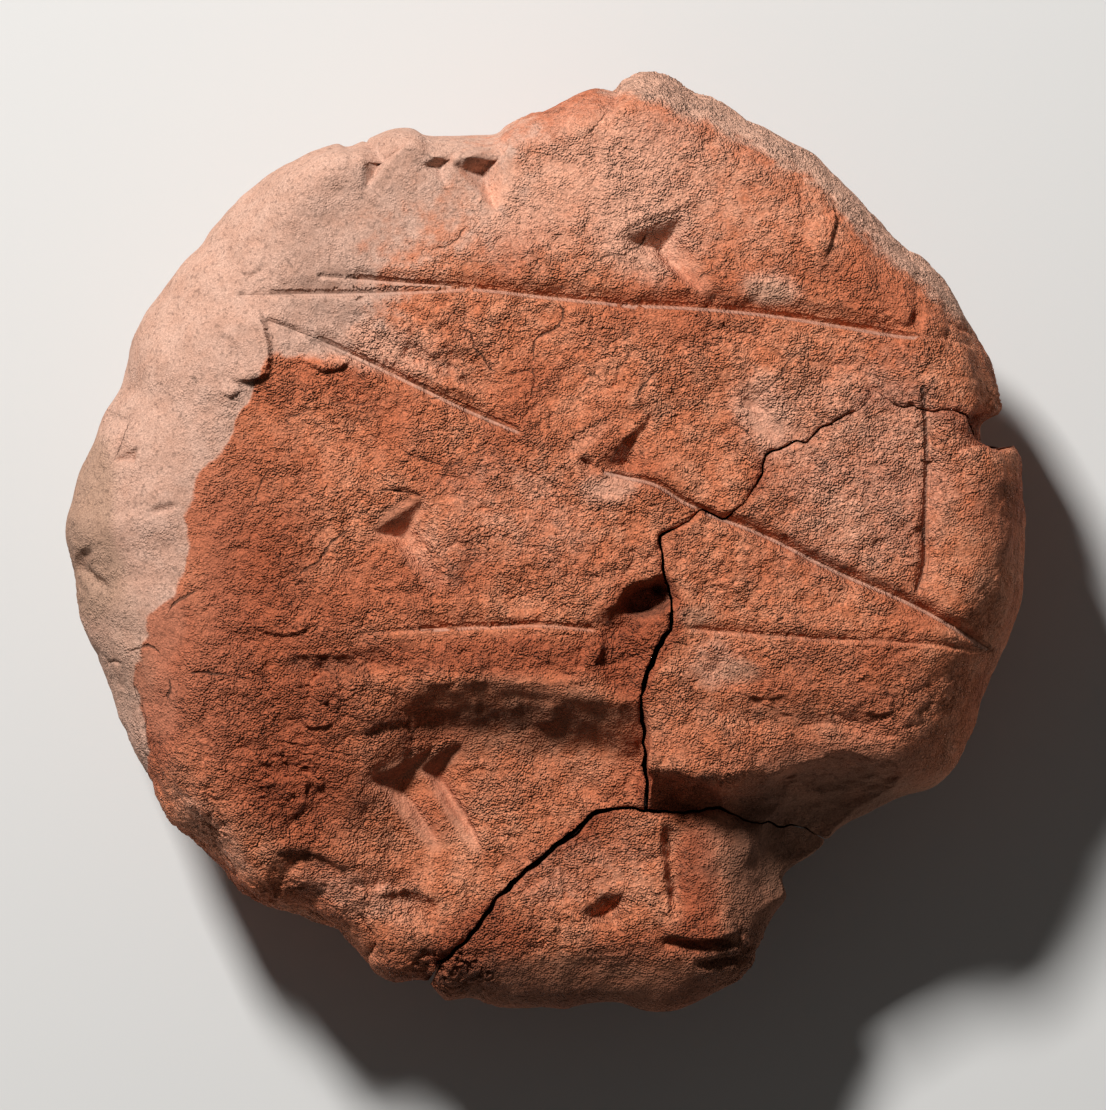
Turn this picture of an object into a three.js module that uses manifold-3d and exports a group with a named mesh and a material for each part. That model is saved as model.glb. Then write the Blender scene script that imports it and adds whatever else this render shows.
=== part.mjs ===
// A round clay school tablet, hand-shaped like a bun, broken in three and rejoined.
// Its flat writing face carries a ruled figure (a triangle with a cross-bar and an upright)
// and a few stylus impressions. Units are millimetres, +Z is up, and the tablet lies on its
// domed back, which has a small worn flat at the bottom.
import * as THREE from "three";
import { mergeVertices, toCreasedNormals } from "three/addons/utils/BufferGeometryUtils.js";
import Module from "manifold-3d";

const wasm = await Module();
wasm.setup();

// ---------------------------------------------------------------- driving dimensions
const THICKNESS = 25.0; // back to the middle of the face
const RIM_HEIGHT = 14.0; // height of the widest line round the side
const FACE_CROWN = 1.6; // how far the face falls from its middle to its edge
const FLAT_SHARE = 0.32; // radius of the worn flat underneath, as a share of the rim's radius
const CRACK_GAP = 0.34; // space between the rejoined fragments
const RIM_POINTS = 150; // corners round the rim
const FACE_RINGS = [0.36, 0.6]; // rings inside the face, as shares of its own radius
const SHOULDER_STEPS = 5;
const BACK_STEPS = 5;
const CREASE_DEGREES = 25; // edges sharper than this are shaded sharp
const CARRIED_ON = 1.8; // how much further than the face a stylus cutter's sides run
const BELOW = -5; // the cutters for the cracks start under the tablet
const ABOVE = THICKNESS + 5; // and end over it
const OUTSIDE = 60; // a distance well clear of the tablet

const CLAY = new THREE.MeshStandardMaterial({ color: 0xb8734f, roughness: 0.95, metalness: 0 });

// ---------------------------------------------------------------- the outline, seen from above
// Counter-clockwise from the notch where the upper crack meets the right-hand rim.
const UPPER_RIGHT = [
  [38.0, 8.25], [37.8, 9.6], [37.9, 11.0], [37.0, 14.3], [35.9, 17.2], [34.4, 20.0], [32.6, 22.6],
  [30.2, 24.7], [27.5, 27.3], [24.5, 30.0], [22.3, 32.1], [20.0, 33.6], [16.1, 35.5], [14.0, 36.8],
];
const KNOB = [[12.4, 37.4], [11.4, 38.1], [9.6, 38.95], [7.5, 38.8], [6.5, 38.4], [6.0, 37.65]];
const TOP_DIP = [
  [4.0, 37.6], [0.0, 36.1], [-3.2, 35.0], [-4.2, 34.2], [-7.0, 33.95], [-10.0, 34.0], [-11.2, 34.6],
  [-13.0, 34.5], [-16.7, 33.0],
];
const LEFT = [
  [-17.5, 33.2], [-20.3, 32.3], [-22.6, 31.2], [-27.6, 26.5], [-28.7, 25.1], [-30.6, 23.3],
  [-34.6, 16.8], [-35.5, 13.4], [-36.8, 11.0], [-39.5, 3.8], [-40.1, 1.2], [-39.6, -2.0],
  [-39.2, -5.3], [-36.3, -12.4], [-33.3, -19.5],
];
const LOWER_LEFT = [
  [-31.2, -22.3], [-26.9, -27.1], [-25.5, -28.9], [-23.0, -30.3], [-20.3, -30.9], [-17.6, -32.1],
  [-15.6, -33.8], [-14.0, -35.9], [-12.6, -36.8], [-10.3, -36.75],
];
const FOOT = [
  [-8.4, -38.4], [-6.3, -38.05], [-4.0, -38.65], [1.6, -38.95], [2.5, -38.7], [6.0, -38.65],
  [8.5, -39.05], [11.0, -38.8], [14.0, -37.7], [16.2, -36.2], [17.3, -34.6],
];
const BROKEN_EDGE = [
  [19.3, -30.9], [20.1, -29.6], [19.8, -28.3], [20.5, -27.2], [22.9, -25.4], [24.7, -23.7],
  [28.6, -21.8], [30.9, -20.9],
];
const RIGHT = [
  [32.5, -20.1], [34.2, -18.4], [35.1, -16.5], [36.1, -13.9], [38.4, -8.4], [39.5, -5.4],
  [40.1, 0.5], [39.95, 5.0], [39.6, 7.4], [39.0, 8.3], [38.5, 8.25],
];
const OUTLINE = [
  ...UPPER_RIGHT, ...KNOB, ...TOP_DIP, ...LEFT, ...LOWER_LEFT, ...FOOT, ...BROKEN_EDGE, ...RIGHT,
];

// How far in from the rim the face starts to turn down: [degrees round from +X, width].
const SHOULDER_WIDTHS = [
  [0, 4.5], [35, 5.5], [55, 5.5], [75, 4.0], [95, 3.5], [115, 4.5], [135, 9.0], [160, 11.0],
  [185, 12.0], [205, 8.5], [225, 5.5], [250, 4.5], [270, 6.5], [290, 7.5], [305, 10.0],
  [320, 13.0], [340, 8.0],
];

// The foot of the face was pressed down. Below FOOT_TOP it falls steeply and levels out:
// [how far below, how deep].
const FOOT_TOP = -11.5;
const FOOT_FALL = [[0, 0], [3, 2.2], [4.5, 3.1], [6, 3.65], [8, 3.95], [14, 4.2], [30, 4.4]];
const FOOT_BEGINS = [-34, -10]; // from left to right, the fall grows from nothing to all
const FOOT_GENTLER = [-17, -9]; // left of here it is drawn out
const FOOT_STRETCH = 1.6;
const FOOT_ENDS = [7, 11]; // the right fragment was not pressed down,
const FOOT_CORNER = [-22.5, -18.5]; // but its lowest corner was

// ---------------------------------------------------------------- the three fragments
// The upper crack runs in from the right-hand notch, then down to the lower crack.
const UPPER_CRACK = [
  [38.2, 8.2], [36.5, 8.2], [35.3, 9.7], [34.2, 10.7], [31.0, 10.9], [29.5, 11.1], [26.8, 11.9],
  [25.0, 10.6], [22.5, 9.3], [21.1, 8.1], [18.5, 7.5], [17.8, 5.5], [16.3, 3.2], [14.7, 1.9],
  [12.7, 2.7], [11.6, 1.6], [9.4, 0.5], [9.8, -3.2], [10.4, -5.0], [10.3, -7.3], [8.8, -9.8],
  [7.9, -12.8], [8.2, -17.0], [8.3, -22.2],
];
// The lower crack cuts off the foot, from the lower left to the broken edge.
const LOWER_CRACK = [
  [-10.1, -36.8], [-9.0, -34.8], [-6.5, -32.8], [-4.2, -29.8], [-1.8, -27.4], [0.6, -25.3],
  [3.0, -23.6], [4.2, -22.5], [7.0, -22.0], [10.0, -22.3], [14.2, -21.9], [17.2, -23.1],
  [20.3, -23.5], [22.4, -24.3], [23.6, -24.8],
];

// ---------------------------------------------------------------- ruled lines
// Each was drawn with the edge of the stylus: up and down are the widths of its two sides.
const TOP_LINE = {
  path: [[-25, 20.4], [-15, 20.5], [-6, 20.9], [12, 19.4], [29.5, 17.0], [35.3, 16.1]],
  up: 0.9, down: 0.3, depth: 0.55,
};
const TOP_LINE_RETRY = {
  path: [[-18.8, 21.9], [-14, 21.5], [-6, 20.9]],
  up: 0.7, down: 0.3, depth: 0.4,
};
const SLANT_LEFT = {
  path: [[-23, 18.3], [-15, 15.0], [-8, 11.8], [-1.5, 8.8]],
  up: 1.1, down: 0.7, depth: 0.5,
};
const SLANT_RIGHT = {
  path: [[4.6, 5.9], [9, 4.8], [14.7, 1.9], [24, -2.3], [32, -6.0], [37.4, -9.4]],
  up: 0.9, down: 0.3, depth: 0.6,
};
const BASE_LEFT = {
  path: [[-13.5, -7.4], [-4, -6.95], [4.3, -7.2]],
  up: 0.8, down: 0.25, depth: 0.5,
};
const BASE_RIGHT = {
  path: [[11.5, -7.2], [20, -7.8], [28, -8.2], [36.8, -9.3]],
  up: 0.8, down: 0.25, depth: 0.45,
};
const UPRIGHT = {
  path: [[30.6, 23], [30.9, 17.2], [31.4, 10], [31.3, 2], [31.2, -2], [30.8, -3.6]],
  up: 0.9, down: 0.6, depth: 0.4,
};
const RULED_LINES = [
  TOP_LINE, TOP_LINE_RETRY, SLANT_LEFT, SLANT_RIGHT, BASE_LEFT, BASE_RIGHT, UPRIGHT,
];

// ---------------------------------------------------------------- stylus impressions
// Each is a three-sided dent: [one end of its head, the other end, its deepest point, its
// tail, its depth].
const IMPRESSIONS = [
  [[-14.8, 33.0], [-12.0, 32.4], [-13.6, 32.0], [-15.2, 28.8], 1.1], // by the top rim
  [[-7.4, 31.2], [-3.8, 33.0], [-5.4, 31.0], [-4.6, 27.6], 1.5],
  [[6.6, 25.6], [11.0, 27.3], [9.3, 24.8], [12.8, 20.6], 1.3], // over the top line
  [[2.6, 7.0], [8.4, 10.2], [4.6, 6.9], [5.4, 3.8], 1.6], // inside the figure
  [[15.2, 13.2], [18.2, 13.0], [17.2, 11.6], [19.2, 7.8], 0.6],
  [[-14.2, 1.0], [-10.2, 3.7], [-12.1, 1.2], [-8.6, -4.0], 1.4],
  [[-14.2, -19.4], [-10.8, -17.5], [-12.7, -19.2], [-9.0, -25.0], 1.5], // a pair below it
  [[-11.0, -18.9], [-7.5, -17.2], [-9.6, -18.7], [-5.6, -25.4], 1.4],
  [[-36.4, 10.5], [-33.6, 8.1], [-35.0, 8.4], [-36.0, 5.4], 1.0], // on the left rim
  [[3.6, -30.8], [6.4, -29.2], [4.7, -30.4], [5.8, -32.2], 0.9], // on the foot
];

// ---------------------------------------------------------------- hollows and losses
// Dished places: middle, half-sizes along and across, turn in degrees, depth, and where it is
// not on the face, how far over it the middle is.
const HOLLOWS = {
  thumbTrough: { at: [-1.6, -14.9], half: [9.4, 3.0], turn: -3, depth: 1.5, lift: 0.6 },
  shortTrough: { at: [-18.0, -10.3], half: [2.9, 0.8], turn: 0, depth: 0.9 },
  lowerLeftDent: { at: [-19.4, -27.8], half: [2.8, 1.9], turn: -12, depth: 1.2 },
  footDent: { at: [-11.5, -30.2], half: [2.5, 1.3], turn: 0, depth: 0.9 },
  crackHole: { at: [8.6, -5.1], half: [2.0, 1.6], turn: 15, depth: 3.2 },
  crackWear: { at: [6.3, -9.9], half: [3.2, 2.3], turn: 60, depth: 1.1 },
  lostCorner: { at: [10.6, -20.9], half: [3.2, 1.5], turn: -12, depth: 1.0 },
  notchLoss: { at: [36.6, 9.5], half: [1.9, 1.1], turn: -40, depth: 2.0 },
  footGroove: { at: [10.4, -26.8], half: [0.8, 4.0], turn: 4, depth: 0.8 },
};
// The large shell-shaped break in the lower right edge: an ellipsoid that took the edge away.
const BREAK = { at: [25.0, -28.0, 25.6], half: [11.0, 12.0, 11.6] };

// ---------------------------------------------------------------- the plain body
const radians = THREE.MathUtils.degToRad;

// A closed smooth curve through the outline's points, as rim points with their directions.
function rimPoints() {
  const through = OUTLINE.map(([x, y]) => new THREE.Vector3(x, y, 0));
  const curve = new THREE.CatmullRomCurve3(through, true, "centripetal");
  return Array.from({ length: RIM_POINTS }, (_, i) => {
    const { x, y } = curve.getPointAt(i / RIM_POINTS);
    return { x, y, radius: Math.hypot(x, y), angle: Math.atan2(y, x) };
  });
}
const RIM = rimPoints();
const MEAN_RADIUS = RIM.reduce((sum, p) => sum + p.radius, 0) / RIM.length;
const RIM_BY_ANGLE = [...RIM].sort((a, b) => a.angle - b.angle);

// The value at an angle of a table of {angle, value}, sorted by angle, that goes round.
function roundTable(table, angle) {
  const after = table.findIndex((row) => row.angle > angle);
  const high = table[after < 0 ? 0 : after];
  const low = table[(after < 0 ? 0 : after) - 1] ?? table[table.length - 1];
  const turn = 2 * Math.PI;
  const span = (high.angle - low.angle + turn) % turn || turn;
  const share = ((angle - low.angle + turn) % turn) / span;
  return low.value + (high.value - low.value) * share;
}
const RIM_TABLE = RIM_BY_ANGLE.map(({ angle, radius }) => ({ angle, value: radius }));
const WIDTH_TABLE = SHOULDER_WIDTHS.map(([degrees, value]) => {
  const angle = radians(degrees > 180 ? degrees - 360 : degrees);
  return { angle, value };
}).sort((a, b) => a.angle - b.angle);
const rimRadius = (angle) => roundTable(RIM_TABLE, angle);
const shoulderWidth = (angle) => roundTable(WIDTH_TABLE, angle);

const { smoothstep } = THREE.MathUtils;

// How far the foot of the face was pressed down at (x, y).
function footDrop(x, y) {
  const stretch = 1 + FOOT_STRETCH * (1 - smoothstep(x, ...FOOT_GENTLER));
  const below = (FOOT_TOP - y) / stretch;
  const after = FOOT_FALL.findIndex(([run]) => run > below);
  if (after === 0) return 0;
  const [run0, fall0] = FOOT_FALL[after - 1];
  const [run1, fall1] = FOOT_FALL[after];
  const fall = fall0 + ((fall1 - fall0) * (below - run0)) / (run1 - run0);
  const rightOfCrack = smoothstep(x, ...FOOT_ENDS) * smoothstep(y, ...FOOT_CORNER);
  return fall * smoothstep(x, ...FOOT_BEGINS) * (1 - rightOfCrack);
}

// Height of the slightly crowned face, before it turns down to the rim.
const faceHeight = (x, y) => THICKNESS - FACE_CROWN * ((x * x + y * y) / 38 ** 2) - footDrop(x, y);

// Height of the plain front at (x, y): the face, then a quarter ellipse down to the rim.
function frontHeight(x, y) {
  const angle = Math.atan2(y, x);
  const inward = rimRadius(angle) - Math.hypot(x, y);
  const share = THREE.MathUtils.clamp(1 - inward / shoulderWidth(angle), 0, 1);
  return RIM_HEIGHT + (faceHeight(x, y) - RIM_HEIGHT) * Math.sqrt(1 - share * share);
}

// One ring of points: the rim drawn in to a share of its radius, at the heights given.
function ring(shareAt, heightAt) {
  return RIM.map((p) => {
    const share = shareAt(p);
    const x = p.x * share;
    const y = p.y * share;
    return [x, y, heightAt(x, y, p)];
  });
}

// Rings from the middle of the face, over the rim, to the flat underneath. The rim's bumps
// fade out below it, so the flat is round.
function bodyRings() {
  const faceEdge = (p) => 1 - shoulderWidth(p.angle) / p.radius;
  const rings = FACE_RINGS.map((part) => ring((p) => part * faceEdge(p), faceHeight));
  for (let i = 0; i <= SHOULDER_STEPS; i++) {
    const turn = (i / SHOULDER_STEPS) * (Math.PI / 2);
    const share = (p) => 1 - (shoulderWidth(p.angle) / p.radius) * (1 - Math.sin(turn));
    const height = (x, y) => RIM_HEIGHT + (faceHeight(x, y) - RIM_HEIGHT) * Math.cos(turn);
    rings.push(ring(share, height));
  }
  for (let i = BACK_STEPS - 1; i >= 0; i--) {
    const turn = (i / BACK_STEPS) * (Math.PI / 2);
    const reach = FLAT_SHARE + (1 - FLAT_SHARE) * Math.sin(turn);
    const evened = (p) => 1 + (MEAN_RADIUS / p.radius - 1) * (1 - Math.sin(turn));
    rings.push(ring((p) => reach * evened(p), () => RIM_HEIGHT * (1 - Math.cos(turn))));
  }
  return rings;
}

// The closed skin through rings of equal length, capped by a point at each end.
function skin(rings, firstCap, lastCap) {
  const n = rings[0].length;
  const points = [...rings.flat(), firstCap, lastCap];
  const index = [];
  const at = (r, i) => r * n + (i % n);
  for (let i = 0; i < n; i++) {
    index.push(points.length - 2, at(0, i), at(0, i + 1));
    for (let r = 0; r + 1 < rings.length; r++) {
      index.push(at(r, i), at(r + 1, i), at(r + 1, i + 1));
      index.push(at(r, i), at(r + 1, i + 1), at(r, i + 1));
    }
    index.push(at(rings.length - 1, i), points.length - 1, at(rings.length - 1, i + 1));
  }
  const geometry = new THREE.BufferGeometry();
  geometry.setAttribute("position", new THREE.Float32BufferAttribute(points.flat(), 3));
  geometry.setIndex(index);
  return geometry;
}

// ---------------------------------------------------------------- solids
// A closed three.js geometry as a solid that can be joined and cut.
function solid(geometry) {
  const bare = geometry.clone();
  for (const name of Object.keys(bare.attributes)) {
    if (name !== "position") bare.deleteAttribute(name);
  }
  const merged = mergeVertices(bare, 1e-4);
  const mesh = new wasm.Mesh({
    numProp: 3,
    vertProperties: merged.attributes.position.array,
    triVerts: new Uint32Array(merged.index.array),
  });
  const body = new wasm.Manifold(mesh);
  if (body.volume() <= 0) throw new Error("a solid is inside out");
  return body;
}

// A V-shaped cutter along a line drawn on the front, running out to a point at both ends.
function grooveCutter({ path, up, down, depth }) {
  const curve = new THREE.CatmullRomCurve3(path.map(([x, y]) => new THREE.Vector3(x, y, 0)));
  const steps = (path.length - 1) * 2;
  const rings = [];
  for (let i = 1; i < steps; i++) {
    const p = curve.getPoint(i / steps);
    const along = curve.getTangent(i / steps);
    const z = frontHeight(p.x, p.y);
    const side = (width) => [p.x - along.y * width, p.y + along.x * width, z + depth];
    rings.push([side(-2 * down), side(2 * up), [p.x, p.y, z - depth]]);
  }
  const tip = ([x, y]) => [x, y, frontHeight(x, y) + depth / 2];
  return solid(skin(rings, tip(path[0]), tip(path[path.length - 1])));
}

// The dent of a stylus corner: a tetrahedron standing on its deepest point.
function impressionCutter([headA, headB, deep, tail, depth]) {
  const low = new THREE.Vector3(...deep, frontHeight(...deep) - depth);
  const top = [headA, tail, headB].map(([x, y]) => {
    const onFace = new THREE.Vector3(x, y, frontHeight(x, y));
    return onFace.sub(low).multiplyScalar(CARRIED_ON).add(low);
  });
  const geometry = new THREE.BufferGeometry().setFromPoints([low, ...top]);
  const clockwise = top[1].clone().sub(top[0]).cross(top[2].clone().sub(top[0])).z < 0;
  const [b, c] = clockwise ? [3, 2] : [2, 3];
  geometry.setIndex([1, b, c, 0, b, 1, 0, c, b, 0, 1, c]);
  return solid(geometry);
}

// A dished hollow: an ellipsoid centred on the face, or lifted over it.
function hollowCutter({ at, half, turn, depth, lift = 0 }) {
  const geometry = new THREE.SphereGeometry(1, 14, 8);
  geometry.scale(half[0], half[1], depth);
  geometry.rotateZ(radians(turn));
  geometry.translate(at[0], at[1], frontHeight(...at) + lift);
  return solid(geometry);
}

function breakCutter() {
  const geometry = new THREE.SphereGeometry(1, 32, 20);
  geometry.scale(...BREAK.half);
  geometry.translate(...BREAK.at);
  return solid(geometry);
}

// A crack's line moved sideways, to the left of the way it runs.
function shifted(path, distance) {
  return path.map(([x, y], i) => {
    const before = path[Math.max(i - 1, 0)];
    const after = path[Math.min(i + 1, path.length - 1)];
    const length = Math.hypot(after[0] - before[0], after[1] - before[1]);
    const nx = -(after[1] - before[1]) / length;
    const ny = (after[0] - before[0]) / length;
    return [x + nx * distance, y + ny * distance];
  });
}

// A straight-sided block over an outline, through the whole thickness.
function block(outline) {
  const shape = new THREE.Shape(outline.map(([x, y]) => new THREE.Vector2(x, y)));
  const geometry = new THREE.ExtrudeGeometry(shape, { depth: ABOVE - BELOW, bevelEnabled: false });
  geometry.translate(0, 0, BELOW);
  return solid(geometry);
}

// The ground under the lower crack, and the ground to the right of the upper one.
const underLowerCrack = (shift) =>
  block([
    [-12, -OUTSIDE],
    [OUTSIDE, -OUTSIDE],
    [OUTSIDE, -29],
    ...shifted(LOWER_CRACK, shift).reverse(),
    [-12, -40],
  ]);
const rightOfUpperCrack = (shift) =>
  block([[OUTSIDE, 8.2], ...shifted(UPPER_CRACK, shift), [8.3 + shift, -OUTSIDE], [OUTSIDE, -OUTSIDE]]);

// ---------------------------------------------------------------- the tablet
function carvedBody() {
  const middle = [0, 0, THICKNESS];
  let body = solid(skin(bodyRings(), middle, [0, 0, 0]));
  const cutters = [
    ...RULED_LINES.map(grooveCutter),
    ...IMPRESSIONS.map(impressionCutter),
    ...Object.values(HOLLOWS).map(hollowCutter),
    breakCutter(),
  ];
  for (const cutter of cutters) body = body.subtract(cutter);
  return body;
}

// The carved body parted along the two cracks.
function fragments() {
  const body = carvedBody();
  const half = CRACK_GAP / 2;
  const upper = body.subtract(underLowerCrack(half));
  return {
    main_fragment: upper.subtract(rightOfUpperCrack(-half)),
    right_fragment: upper.intersect(rightOfUpperCrack(half)),
    lower_fragment: body.intersect(underLowerCrack(-half)),
  };
}

// A fragment's mesh. Where two cuts meet they can free a crumb, which is left out.
function meshOf(name, piece) {
  const [whole] = piece.decompose().sort((a, b) => b.volume() - a.volume());
  const { vertProperties, triVerts } = whole.getMesh();
  const geometry = new THREE.BufferGeometry();
  geometry.setAttribute("position", new THREE.BufferAttribute(vertProperties, 3));
  geometry.setIndex(new THREE.BufferAttribute(triVerts, 1));
  const mesh = new THREE.Mesh(toCreasedNormals(geometry, radians(CREASE_DEGREES)), CLAY.clone());
  mesh.name = name;
  return mesh;
}

const tablet = new THREE.Group();
for (const [name, piece] of Object.entries(fragments())) tablet.add(meshOf(name, piece));

// The origin is the middle of the tablet's box, on the surface that it lies on.
const box = new THREE.Box3().setFromObject(tablet);
const centre = box.getCenter(new THREE.Vector3());
for (const mesh of tablet.children) mesh.geometry.translate(-centre.x, -centre.y, -box.min.z);

export default tablet;
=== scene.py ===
# %% [markdown]
# # A round clay school tablet
#
# The real tablet is a bun of fine clay, patted flat on one side and left domed on the other.
# A pupil ruled a figure on the flat face with the edge of a reed and pressed a few wedges into
# it. Later it broke in three, and the three fragments were put back together. This lesson makes
# each fragment as one closed mesh of fine clay skin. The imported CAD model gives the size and
# says where each fragment sits. First it is loaded, and its box is kept.

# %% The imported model
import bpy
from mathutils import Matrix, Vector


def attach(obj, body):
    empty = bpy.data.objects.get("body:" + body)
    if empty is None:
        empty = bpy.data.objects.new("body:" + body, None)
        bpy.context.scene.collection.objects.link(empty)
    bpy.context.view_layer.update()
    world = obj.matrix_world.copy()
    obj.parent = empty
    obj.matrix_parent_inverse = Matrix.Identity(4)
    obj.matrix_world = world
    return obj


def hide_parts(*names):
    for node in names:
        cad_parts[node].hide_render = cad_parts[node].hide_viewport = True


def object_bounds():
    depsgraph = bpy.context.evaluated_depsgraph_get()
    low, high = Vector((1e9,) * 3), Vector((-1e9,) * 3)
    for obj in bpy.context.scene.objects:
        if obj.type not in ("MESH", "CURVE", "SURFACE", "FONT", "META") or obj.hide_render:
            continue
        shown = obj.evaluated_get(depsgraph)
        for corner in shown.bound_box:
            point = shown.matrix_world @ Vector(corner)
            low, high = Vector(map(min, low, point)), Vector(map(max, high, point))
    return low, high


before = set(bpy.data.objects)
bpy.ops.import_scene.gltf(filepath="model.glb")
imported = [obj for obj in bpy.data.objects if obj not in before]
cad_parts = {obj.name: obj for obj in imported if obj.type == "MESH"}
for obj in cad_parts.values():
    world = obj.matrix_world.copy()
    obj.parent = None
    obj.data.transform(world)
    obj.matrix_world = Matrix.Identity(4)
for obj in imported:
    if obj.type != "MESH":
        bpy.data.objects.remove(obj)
cad_bounds = [list(corner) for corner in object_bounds()]

import math
from types import SimpleNamespace

import bpy
import numpy as np

MM = 0.001  # the formulas below work in millimetres, and Blender in metres
CAD_LOW, CAD_HIGH = [np.array(corner) / MM for corner in cad_bounds]
print("CAD box in mm:", CAD_LOW.round(2), CAD_HIGH.round(2))

# %% [markdown]
# ## The plain shape
#
# Seen from above, the rim is a wobbly circle with a knob at the top and a bite at the lower
# right. A spline through a few dozen points gives it, and because every ray from the middle
# meets it once, it can be kept as one number for each direction: the radius.

# %% The rim
THICKNESS = CAD_HIGH[2]
RIM_HEIGHT = 0.56 * THICKNESS  # the widest line round the side
SKIN_ROOM = 0.30  # the plain shape is this much smaller, so that grain can stand out on it

OUTLINE = [
    # upper right
    (38.0, 8.25), (37.8, 9.6), (37.9, 11.0), (37.0, 14.3), (35.9, 17.2), (34.4, 20.0), (32.6, 22.6),
    (30.2, 24.7), (27.5, 27.3), (24.5, 30.0), (22.3, 32.1), (20.0, 33.6), (16.1, 35.5), (14.0, 36.8),
    # the knob at the top, and the dip beside it
    (12.4, 37.4), (11.4, 38.1), (9.6, 38.95), (7.5, 38.8), (6.5, 38.4), (6.0, 37.65),
    (4.0, 37.6), (0.0, 36.1), (-3.2, 35.0), (-4.2, 34.2), (-7.0, 33.95), (-10.0, 34.0), (-11.2, 34.6),
    (-13.0, 34.5), (-16.7, 33.0),
    # left
    (-17.5, 33.2), (-20.3, 32.3), (-22.6, 31.2), (-27.6, 26.5), (-28.7, 25.1), (-30.6, 23.3),
    (-34.6, 16.8), (-35.5, 13.4), (-36.8, 11.0), (-39.5, 3.8), (-40.1, 1.2), (-39.6, -2.0),
    (-39.2, -5.3), (-36.3, -12.4), (-33.3, -19.5),
    # lower left
    (-31.2, -22.3), (-26.9, -27.1), (-25.5, -28.9), (-23.0, -30.3), (-20.3, -30.9), (-17.6, -32.1),
    (-15.6, -33.8), (-14.0, -35.9), (-12.6, -36.8), (-10.3, -36.75),
    # the foot
    (-8.4, -38.4), (-6.3, -38.05), (-4.0, -38.65), (1.6, -38.95), (2.5, -38.7), (6.0, -38.65),
    (8.5, -39.05), (11.0, -38.8), (14.0, -37.7), (16.2, -36.2), (17.3, -34.6),
    # the broken edge
    (19.3, -30.9), (20.1, -29.6), (19.8, -28.3), (20.5, -27.2), (22.9, -25.4), (24.7, -23.7),
    (28.6, -21.8), (30.9, -20.9),
    # right
    (32.5, -20.1), (34.2, -18.4), (35.1, -16.5), (36.1, -13.9), (38.4, -8.4), (39.5, -5.4),
    (40.1, 0.5), (39.95, 5.0), (39.6, 7.4), (39.0, 8.3), (38.5, 8.25),
]
# How far in from the rim the face starts to turn down: (degrees round from +X, width).
SHOULDER_WIDTHS = [
    (0, 4.5), (35, 5.5), (55, 5.5), (75, 4.0), (90, 3.2), (97, 2.0), (117, 2.0), (126, 4.0),
    (137, 9.0), (160, 11.0), (185, 12.0), (205, 7.5), (225, 4.0), (240, 3.5), (255, 4.5),
    (270, 7.5), (290, 7.5), (305, 10.0), (320, 13.0), (340, 8.0),
]


def smooth_path(points, steps, closed=False):
    """Points on a centripetal Catmull-Rom curve: between two neighbours it is a cubic, whose
    slopes at its ends are worked out from the spacing of four points in a row."""
    p = np.asarray(points, float)
    if closed:
        p = np.vstack([p[-1:], p, p[:2]])
    else:
        p = np.vstack([2 * p[0] - p[1], p, 2 * p[-1] - p[-2]])
    p0, p1, p2, p3 = p[:-3], p[1:-2], p[2:-1], p[3:]
    d0, d1, d2 = (np.linalg.norm(b - a, axis=1, keepdims=True) ** 0.5
                  for a, b in ((p0, p1), (p1, p2), (p2, p3)))
    slope1 = d1 * ((p1 - p0) / d0 - (p2 - p0) / (d0 + d1) + (p2 - p1) / d1)
    slope2 = d1 * ((p2 - p1) / d1 - (p3 - p1) / (d1 + d2) + (p3 - p2) / d2)
    t = (np.arange(steps) / steps)[None, :, None]
    curve = (
        (2 * t**3 - 3 * t**2 + 1) * p1[:, None]
        + (t**3 - 2 * t**2 + t) * slope1[:, None]
        + (3 * t**2 - 2 * t**3) * p2[:, None]
        + (t**3 - t**2) * slope2[:, None]
    ).reshape(-1, 2)
    return curve if closed else np.vstack([curve, p2[-1:]])


rim_line = smooth_path(OUTLINE, 12, closed=True)
rim_angle = np.arctan2(rim_line[:, 1], rim_line[:, 0])
rim_reach = np.hypot(rim_line[:, 0], rim_line[:, 1])
MEAN_RADIUS = rim_reach.mean()


def rim_radius(angle):
    """The rim's distance from the middle in one direction, less the room for the grain."""
    return np.interp(angle, rim_angle, rim_reach, period=2 * math.pi) - SKIN_ROOM


def shoulder_width(angle):
    """The width in one direction, read from the table by straight lines between its rows."""
    degrees, width = np.array(SHOULDER_WIDTHS).T
    return np.interp(np.degrees(angle), degrees, width, period=360)


print("mean radius", round(MEAN_RADIUS, 2), "mm, widest", round(2 * rim_reach.max(), 1), "mm")

# %% [markdown]
# ## A grid that covers a disc evenly
#
# A fan of rays would crowd its points in the middle. Instead a square grid is bent into a disc:
# each square ring of the grid becomes a round one. Then every cell has nearly the same size, and
# the reed's marks are equally sharp everywhere. Going out along a ray, the distance is measured
# on the surface, so that the steep shoulder gets as many points as the face.

# %% From a square to a disc
def square_to_disc(count):
    """Each grid point's share of the way out (its square ring), and its direction: along one
    side of the square, the direction turns evenly through a quarter circle."""
    line = np.linspace(-1, 1, count)
    a, b = np.meshgrid(line, line, indexing="ij")
    wide = np.abs(a) > np.abs(b)
    out = np.where(wide, np.abs(a), np.abs(b))
    safe_a = np.where(a == 0, 1, a)
    safe_b = np.where(b == 0, 1, b)
    angle = np.where(
        wide,
        math.pi / 4 * b / safe_a + np.where(a < 0, math.pi, 0),
        math.pi / 2 - math.pi / 4 * a / safe_b + np.where(b < 0, math.pi, 0),
    )
    return out, np.arctan2(np.sin(angle), np.cos(angle))


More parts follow.
